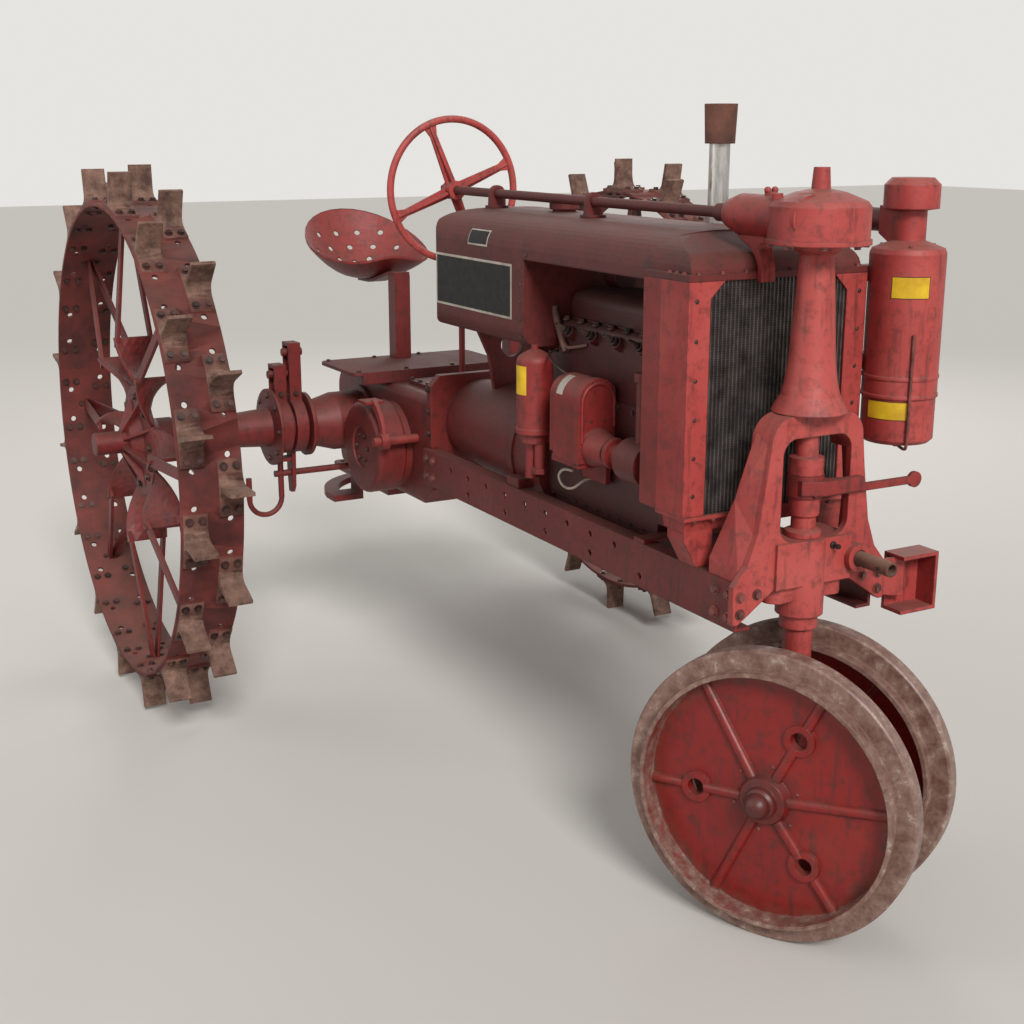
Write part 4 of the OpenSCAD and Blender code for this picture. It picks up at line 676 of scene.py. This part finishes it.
def ring(centre, axis, radius, count, aim, size, start=0.0):
    """Places on a circle round an axis."""
    turn = Vector(axis).to_track_quat("Z", "Y").to_matrix()
    around = [2 * math.pi * k / count + math.radians(start) for k in range(count)]
    return [(Vector(centre) + turn @ Vector((radius * math.cos(a), radius * math.sin(a), 0)), aim, size)
            for a in around]


def mirrored(places):
    """The places and their mirror images on the other side of the tractor."""
    return places + [((p[0], -p[1], p[2]), (aim[0], -aim[1], aim[2]), size) for p, aim, size in places]


# Boxes of the castings that carry the added pieces, and the faces and axes that bolts and labels follow
RAIL, RADIATOR, PEDESTAL = edges("frame_rail_right"), edges("radiator_sides"), edges("front_pedestal")
BLOCK, PAN, HOOD, TANK = edges("engine_block"), edges("oil_pan"), edges("hood"), edges("fuel_tank")
MAGNETO, BELL, GEARBOX = edges("magneto"), edges("bell_housing"), edges("gearbox")
PLATFORM, SEAT, CORE_BOX = edges("platform"), edges("seat"), edges("radiator_core")
POST_X = (JOINTS["front_steering_turns"]["pos_m"][0] - AXLE_X) / MM
CASE_FLOOR = 1461
BLOCK_SIDE = -124
TIMING_FACE = BLOCK.x1 + 50
CAP_X, CAP_Y, CAP_Z = MAGNETO.x0 + 138, -171, 1074
CLEANER_X, CLEANER_Y, CLEANER_FLOOR = 1880, 312, 1013
FILTER_X, FILTER_Y = 1164, -188
HALF_TRACK = -JOINTS["rear_wheel_right_turns"]["pos_m"][1] / MM
# Radii of bolt heads: on thin sheet, on covers, on cases, and on what carries the tractor
SHEET_HEAD, COVER_HEAD, CASE_HEAD, FRAME_HEAD = 4.5, 6, 6.5, 8


# Bolts and rivets
def front_places():
    """Radiator flanges, the steering case's foot, the pedestal's ears and both ends of the rails."""
    flange = RADIATOR.z1 + 14
    front, behind = RADIATOR.x1 - 4.5, RADIATOR.x0 + 22
    places = row((front, -205, flange), (front, 205, flange), 8, UP, SHEET_HEAD)
    places += mirrored(row((behind, -224, flange), (RADIATOR.x1 - 26, -224, flange), 3, UP, SHEET_HEAD))
    lip, lip_z = RADIATOR.x1 + 2, RADIATOR.z0 - 8
    places += mirrored(row((lip, -200, lip_z), (lip, -60, lip_z), 4, DOWN, 5))
    places += ring((POST_X, 0, CASE_FLOOR), UP, 94, 8, DOWN, CASE_HEAD, 12)
    places += mirrored([((PEDESTAL.x1 - 24, y, z), FORWARD, FRAME_HEAD)
                        for y, z in ((-182, 732), (-182, 768), (-140, 768))])
    for x in (RAIL.x1 - 22, RAIL.x1 - 68, RAIL.x0 + 24, RAIL.x0 + 66):
        places += mirrored(row((x, RAIL.y0, RAIL.z0 + 26), (x, RAIL.y0, RAIL.z1 - 26), 2, RIGHT, 9))
    return places


def engine_places():
    """Side covers, sump flange, cylinder head, manifold studs and timing cover."""
    places = []
    for cover in (BLOCK.x0 + 60, BLOCK.x0 + 250):
        for z in (BLOCK.z0 + 142, BLOCK.z0 + 258):
            places += row((cover + 13, BLOCK_SIDE, z), (cover + 142, BLOCK_SIDE, z), 3, RIGHT, COVER_HEAD)
    lip_y, lip_z = PAN.y0 + 4, PAN.z1 - 8
    places += row((PAN.x0 + 14, lip_y, lip_z), (PAN.x1 - 14, lip_y, lip_z), 10, DOWN, 5)
    for y in (-107, 107):
        places += row((BLOCK.x0 + 70, y, BLOCK.z1), (BLOCK.x1 - 20, y, BLOCK.z1), 7, UP, FRAME_HEAD)
    stud = BLOCK.x0 + 61
    places += row((stud, BLOCK.y1, 1156), (stud + 3 * 112, BLOCK.y1, 1156), 4, LEFT, 7)
    places += mirrored([((TIMING_FACE, y, z), FORWARD, CASE_HEAD)
                        for y, z in ((96, 820), (72, 820), (104, 880), (104, 1000), (92, 1060))])
    return places


def rear_places():
    """Clutch housing, gearbox lid, brake drums, axle housings, their clamps, drawbar hangers and platform."""
    axle_ring = 97
    places = []
    for side, aim in SIDES:
        places += row((BELL.x0 + 13, side * 165, 770), (BELL.x0 + 13, side * 165, 960), 4, aim, FRAME_HEAD)
        places += row((GEARBOX.x0 + 468, side * 86, GEARBOX.z1), (GEARBOX.x0 + 690, side * 86, GEARBOX.z1), 5,
                      UP, 7)
        places += ring((236, side * 256, 750), aim, 40, 6, aim, COVER_HEAD)
        places += ring((0, side * 164, AXLE_Z), aim, axle_ring - 14, 8, aim, FRAME_HEAD, 22.5)
        places += ring((0, side * 466, AXLE_Z), aim, axle_ring, 8, aim, FRAME_HEAD)
        for y in (384, 432):
            places += [((28, side * y, 892), FORWARD, 7), ((-28, side * y, 892), BACK, 7)]
        for x in (-76, -34):
            places += [((x, side * 164, z), aim, FRAME_HEAD) for z in (600, 648)]
    for x in (PLATFORM.x0 + 20, PLATFORM.x1 - 20):
        places += row((x, PLATFORM.y0 + 24, PLATFORM.z1), (x, PLATFORM.y1 - 24, PLATFORM.z1), 4, UP,
                      COVER_HEAD)
    return places


def cleaner_places():
    """The air cleaner's bracket on the radiator, and the three screws in its lid."""
    places = [((1822, 243, z), FORWARD, COVER_HEAD) for z in (1190, 1380)]
    return places + ring((CLEANER_X, CLEANER_Y, 1440), UP, 62, 3, UP, 4, 20)


def rivet_places():
    """Rivets in the radiator's sides, the hood's ends, the tank's seam and the magneto's cap."""
    places = mirrored(row((RADIATOR.x1, -210, 1348), (RADIATOR.x1, -206, 949), 6, FORWARD, 5))
    places += mirrored([((x, HOOD.y0, 1388), RIGHT, 5) for x in (HOOD.x0 + 12, HOOD.x1 - 12)])
    seam = TANK.x1 - 14
    places += mirrored(row((seam, TANK.y0, 1190), (seam, TANK.y0, 1360), 5, RIGHT, 4))
    return places + ring((CAP_X, CAP_Y, CAP_Z), FORWARD, 48, 8, FORWARD, 3.4, 22.5)


def make_chassis_fasteners():
    fasteners("front_end_bolts", "chassis", front_places(), BOLT)
    fasteners("engine_bolts", "chassis", engine_places(), DARK_BOLT)
    fasteners("drive_train_bolts", "chassis", rear_places(), DARK_BOLT)
    fasteners("air_cleaner_bolts", "chassis", cleaner_places(), BOLT)
    fasteners("sheet_and_tag_rivets", "chassis", rivet_places(), DARK_BOLT,
              rivets=True)
    seat = [((SEAT.x0 + x, y, SEAT.z0 + 4), UP, FRAME_HEAD) for x, y in ((188, -12), (188, 12), (244, 0))]
    fasteners("seat_bolts", "chassis", seat, DARK_BOLT)


# Rear wheels: two rows of lugs, each lug on four bolts, with a punched hole in the rim before and behind it
LUG_STEP = 22.5
LUG_ROW_Y = 48
FOOT_TOP, RIM_INSIDE = 692.7, 677
BOLT_AHEAD, BOLT_APART, BOLT_LEAN = 57, 17, 0.12
NUT_TURN, HOLE_TURN = 4.76, 7.14


def around_rear(angle, radius, y):
    """A point on a rear wheel, at an angle from straight up, and the ways outwards and along the rim."""
    a = math.radians(angle)
    out, along = Vector((math.sin(a), 0, math.cos(a))), Vector((math.cos(a), 0, -math.sin(a)))
    return Vector((0, y, AXLE_Z)) + out * radius, out, along


def lug_rows(side):
    """Angle and y of each lug. The inner row has one straight down, the outer row is half a step on."""
    for k in range(16):
        yield 180 + LUG_STEP * k, side * (HALF_TRACK - LUG_ROW_Y)
        yield 180 + LUG_STEP * (k + 0.5), side * (HALF_TRACK + LUG_ROW_Y)


def make_rear_wheel(side, aim, word):
    body, slot = "rear_wheel_" + word, "rusty_steel"
    bolts, holes = [], []
    for angle, y in lug_rows(side):
        for turn in (-1, 1):
            for dy in (-BOLT_APART, BOLT_APART):
                foot, out, along = around_rear(angle, FOOT_TOP, y + dy)
                bolts.append((foot + along * BOLT_AHEAD * turn, out + along * BOLT_LEAN * turn, FRAME_HEAD))
                nut, out, along = around_rear(angle + NUT_TURN * turn, RIM_INSIDE, y + dy)
                bolts.append((nut, -out, FRAME_HEAD))
            holes.append(around_rear(angle + HOLE_TURN * turn, 681, y)[:2])
    for k in range(8):
        for dy in (-20, 20):
            arm_end, out, along = around_rear(45 * k, RIM_INSIDE, side * HALF_TRACK + dy)
            bolts.append((arm_end, -out, COVER_HEAD))
    bolts += ring((0, side * (HALF_TRACK + 8.6), AXLE_Z), aim, 130, 8, aim, 9)
    fasteners(word + "_rear_wheel_bolts", body, bolts, DARK_BOLT)
    drilled(word + "_rear_rim", "rear_rim_" + word, body, holes, 8.5)


# The seat pan's back has two rows of drain holes: each row's height, and its angles from straight back
DRAIN_ROWS = ((1334, (-38, -12.5, 12.5, 38)), (1288, (-62, -31, 0, 31, 62)))


def make_seat():
    surface = surface_of("seat")
    holes = [meet(surface, ((SEAT.x0 + SEAT.x1) / 2, 0, z), level_aim(180 + degrees))
             for z, angles in DRAIN_ROWS for degrees in angles]
    drilled("drilled_seat_pan", "seat", "chassis", holes, 9.5)


def make_front_wheel_rivets(side, word):
    joint = JOINTS["front_wheel_%s_turns" % word]
    out = Vector(joint["axis"]) * side
    centre = (Vector(joint["pos_m"]) - Vector((AXLE_X, 0, 0))) / MM
    places = ring(centre + out * 20.5, out, 74, 6, out, SHEET_HEAD, 20)
    fasteners(word + "_front_hub_rivets", "front_wheel_%s_body" % word, places, BOLT,
              rivets=True)


# Radiator core: flat tubes with fins across them. Real fins are about 3 mm apart, drawn at 5 to show
TUBES, FIN_COUNT, FIN_PITCH = 36, 94, 5


def make_radiator_core():
    front, half = CORE_BOX.x1, -RADIATOR.y0 - 54
    height = CORE_BOX.z1 - CORE_BOX.z0
    tubes = [on_axle(front + 0.6, -half + 2 * half * (k + 0.5) / TUBES, CORE_BOX.z0 + height / 2)
             for k in range(TUBES)]
    fins = [on_axle(front + 0.2, 0, CORE_BOX.z0 + 6 + FIN_PITCH * k) for k in range(FIN_COUNT)]
    for name, points, size in (("radiator_tubes", tubes, (3.4, 3.2, height - 2)),
                               ("radiator_fins", fins, (3.0, 2 * half - 1, 0.9))):
        mesh = bpy.data.meshes.new(name)
        mesh.from_pydata(points, [], [])
        made = grown(name, mesh, BARS, {"Size": tuple(s * MM for s in size), "Material": FINS})
        new_piece(name, made, "chassis")


# Blank plates and labels, each a dark or yellow field on a border
TANK_PLATE_X, TANK_PLATE_Z = (680, 1095), (1228, 1362)
# The small plate lies where a line through this point, raised by this angle, meets the tank
SMALL_PLATE, SMALL_PLATE_LEAN = (914, 190, 1402), 35


def make_tank_plates(side, word):
    face = side * TANK.y1
    for kind, less, thick, finish in (("border", 0, 0.8, PALE), ("plate", 6, 1.2, BLACK)):
        y = sorted((face - side * 0.5, face + side * thick))
        (rear, front), (low, high) = TANK_PLATE_X, TANK_PLATE_Z
        plate = slab(kind, (rear + less, front - less), y, (low + less, high - less))
        new_piece("blank_tank_%s_%s" % (kind, word), plate, "chassis", finish)
    out = raised_aim(side, SMALL_PLATE_LEAN)
    x, y, z = SMALL_PLATE
    start = Vector((x, side * y, z)) + out * 120
    for kind, less, thick, finish in (("border", 0, 0.8, PALE), ("plate", 8, 1.2, BLACK)):
        plate = draped(kind, "fuel_tank", start, -out, FORWARD, 40 - less, 104 - less, thick, 8, 4)
        new_piece("blank_small_%s_%s" % (kind, word), plate, "chassis", finish)


def make_stickers():
    out = level_aim(-85)
    label = draped("label", "oil_filter", Vector((FILTER_X, FILTER_Y, 1091)) + out * 90, -out, UP, 42, 70)
    new_piece("blank_label_oil_filter", label, "chassis", YELLOW)
    for word, degrees, z, wide, high in (("high", -36, 1359, 78, 46), ("low", -62, 1098, 88, 40)):
        out = level_aim(degrees)
        start = Vector((CLEANER_X, CLEANER_Y, z)) + out * 160
        for kind, less, thick, finish in (("border", 0, 0.5, BLACK), ("label", 3, 0.9, YELLOW)):
            label = draped(kind, "air_cleaner", start, -out, UP, wide - less, high - less, thick)
            new_piece("blank_%s_air_cleaner_%s" % (kind, word), label, "chassis", finish)
    out = raised_aim(-1, 42)
    tag = draped("tag", "magneto", Vector((1338, CAP_Y, CAP_Z)) + out * 90, -out, FORWARD, 54, 26)
    new_piece("blank_magneto_tag", tag, "chassis", PALE)


# Turned outlines, as radius and height in millimetres
PLUG_SHELL = [(0.5, -6), (9, -6), (9, 2), (11.5, 2), (11.5, 9), (7.5, 10), (7.5, 15), (0.5, 15)]
PLUG_INSULATOR = [(0.5, 12), (6.5, 12), (6.5, 22), (4.6, 30), (4.6, 38), (0.5, 38)]
PLUG_TERMINAL = [(0.5, 36), (3.4, 36), (3.4, 42), (2.4, 43), (0.5, 43)]
WING_NUT = [(0.5, -8), (8, -8), (8, 2), (4, 6), (0.5, 6)]
CUT_TUBE = [(0.5, 0), (16, 0), (16, 143), (11, 144), (11, 120), (0.5, 120)]
GREASE_NIPPLE = [(0.5, -3), (8, -3), (8, 3), (4, 5), (4, 14), (6, 16), (5, 20), (0.5, 20)]
PLUG_PITCH = 105


def make_plugs():
    """One spark plug for each cylinder, on the right of the head, pointing outwards and half up."""
    aim = raised_aim(-1, 30)
    for k in range(4):
        at = Vector((BLOCK.x0 + 115 + PLUG_PITCH * k, -112, 1199)) + aim * 22
        for kind, outline, sides, finish in (("shell", PLUG_SHELL, 12, STEEL_ROD),
                                             ("insulator", PLUG_INSULATOR, 16, CLAY),
                                             ("terminal", PLUG_TERMINAL, 10, STEEL_ROD)):
            new_piece("spark_plug_%s_%d" % (kind, k + 1), turned(kind, outline, at, aim, sides), "chassis",
                      finish)


def make_cleaner_bail():
    """The rod that hangs from the air cleaner's body and holds its cup, with the nut under the cup."""
    x, y = (Vector((CLEANER_X, CLEANER_Y, 0)) + level_aim(-28) * 85).xy
    bail = rounded([(x, y, 1262), (x, y, 1100), (x, y, 1030), (x - 6, y + 4, CLEANER_FLOOR),
                    (CLEANER_X, CLEANER_Y, CLEANER_FLOOR)])
    new_piece("air_cleaner_bail_rod", rod("bail", bail, 3.5), "chassis", BOLT)
    nut = turned("nut", WING_NUT, (CLEANER_X, CLEANER_Y, CLEANER_FLOOR), DOWN, 12)
    new_piece("air_cleaner_wing_nut", nut, "chassis", BOLT)


def make_links():
    """Throttle arm and link, the magneto's link, and the bead round the magneto's cap."""
    throttle = rounded([(1149, -125, 1262), (1154, -125, 1240), (1178, -125, 1198), (1206, -125, 1158)])
    new_piece("throttle_arm", rod("arm", throttle, 9), "chassis", DUSTY)
    link = rounded([(1192, -128, 1166), (1240, -130, 1172), (1281, -127, 1181), (1290, -118, 1184)])
    new_piece("throttle_link", rod("link", link, 4), "chassis", DUSTY)
    spark = rounded([(1306, -186, 1124), (1296, -200, 1136), (1262, -200, 1150), (1222, -186, 1156),
                     (1200, -160, 1162), (1196, -128, 1166)])
    new_piece("magneto_link", rod("link", spark, 2.5), "chassis", STEEL_ROD)
    cap_r = 43
    arch = [(CAP_X, CAP_Y + cap_r * math.cos(math.radians(d)), CAP_Z + cap_r * math.sin(math.radians(d)))
            for d in range(0, 181, 15)]
    bead = [(CAP_X, CAP_Y + cap_r, 1012)] + arch + [(CAP_X, CAP_Y - cap_r, 980)]
    # The bead takes the darker enamel, painted shade like the magneto's
    new_piece("magneto_cap_bead", rod("bead", bead, 4.5), "chassis", SHADED_RED)


WIRE_THICK = 7


def make_ground_wire():
    """The magneto's earthing wire: a stiff pale loop from its shelf back to the block."""
    line = rounded([(1300, -160, 885), (1262, -164, 884), (1238, -165, 862), (1262, -165, 838),
                    (1310, -165, 842), (1334, -150, 868), (1338, -119, 872)])
    wire = new_piece("magneto_earthing_wire", rod("wire", line, WIRE_THICK / 2), "chassis", PALE)


def make_crank_stub():
    """The cut-off end of the starting crank's tube, with its pin, and the grease nipple beside it."""
    x, y, z = 1965, 108, 815
    new_piece("crank_stub", turned("stub", CUT_TUBE, (x, y, z), FORWARD), "chassis", RUST)
    pin = rod("pin", [(x + 121, y - 20, z), (x + 121, y + 20, z)], 4)
    new_piece("crank_stub_pin", pin, "chassis", STEEL_ROD)
    nipple = turned("nipple", GREASE_NIPPLE, (1998, 46, 849), FORWARD, 12)
    new_piece("chest_grease_nipple", nipple, "chassis", STEEL_ROD)


# Floor and light, in metres
FLOOR_HALF = 30
MIDDLE = (0, 0, 0.7)


def make_stage():
    """Painted concrete, plain and pale: quite matt, so that it only keeps the tractor's shadow."""
    material, tree, _ = new_material("pale_floor")
    shader = add(tree, "ShaderNodeBsdfPrincipled", {"Base Color": linear("#cdc9c3"), "Roughness": 0.9})
    add(tree, "ShaderNodeOutputMaterial", {"Surface": shader})
    mesh = bpy.data.meshes.new("floor")
    corners = [(x * FLOOR_HALF, y * FLOOR_HALF, 0) for x, y in ((-1, -1), (1, -1), (1, 1), (-1, 1))]
    mesh.from_pydata(corners, [], [(0, 1, 2, 3)])
    mesh.materials.append(material)
    floor = bpy.data.objects.new("floor", mesh)
    bpy.context.scene.collection.objects.link(floor)


def lamp(kind, name, at, aim, size, power):
    """An area lamp of that width in metres, or a sun that looks that many degrees wide."""
    data = bpy.data.lights.new(name, kind)
    if kind == "AREA":
        data.shape = "DISK"
        data.size = size
    else:
        data.angle = math.radians(size)
    data.energy = power
    light = bpy.data.objects.new(name, data)
    light.location = at
    light.rotation_euler = (Vector(aim) - Vector(at)).to_track_quat("-Z", "Y").to_euler()
    bpy.context.scene.collection.objects.link(light)


def make_light():
    world = bpy.data.worlds.new("studio")
    bpy.context.scene.world = world
    world.use_nodes = True
    tree = world.node_tree
    tree.nodes.clear()
    rays = tree.nodes.new("ShaderNodeLightPath").outputs
    seen = add(tree, "ShaderNodeMath", {0: rays["Is Camera Ray"], 1: rays["Is Glossy Ray"]},
               operation="MAXIMUM")
    seen = add(tree, "ShaderNodeMath", {0: seen, 1: rays["Is Transmission Ray"]}, operation="MAXIMUM")
    lit = add(tree, "ShaderNodeBackground", {"Color": linear("#f4f3f1"), "Strength": 0.42})
    shown = add(tree, "ShaderNodeBackground", {"Color": linear("#e6e4e0"), "Strength": 1.0})
    mix = add(tree, "ShaderNodeMixShader", {"Fac": seen, 1: lit, 2: shown})
    add(tree, "ShaderNodeOutputWorld", {"Surface": mix})
    lamp("SUN", "key", (5.5, -1.4, 4.8), MIDDLE, 18, 2.5)
    lamp("AREA", "fill", (-1.0, -5.5, 3.2), MIDDLE, 3.5, 60)
    lamp("AREA", "rim", (-4.5, 3.5, 4.0), (0, 0, 0.8), 3.0, 90)


make_camera()
dress_nodes()
make_chassis_fasteners()
make_rear_wheel(-1, RIGHT, "right")
make_rear_wheel(1, LEFT, "left")
make_seat()
make_front_wheel_rivets(-1, "right")
make_front_wheel_rivets(1, "left")
make_radiator_core()
make_tank_plates(-1, "right")
make_tank_plates(1, "left")
make_stickers()
make_plugs()
make_cleaner_bail()
make_links()
make_ground_wire()
make_crank_stub()
make_stage()
make_light()

bpy.context.scene.view_settings.view_transform = "Standard"
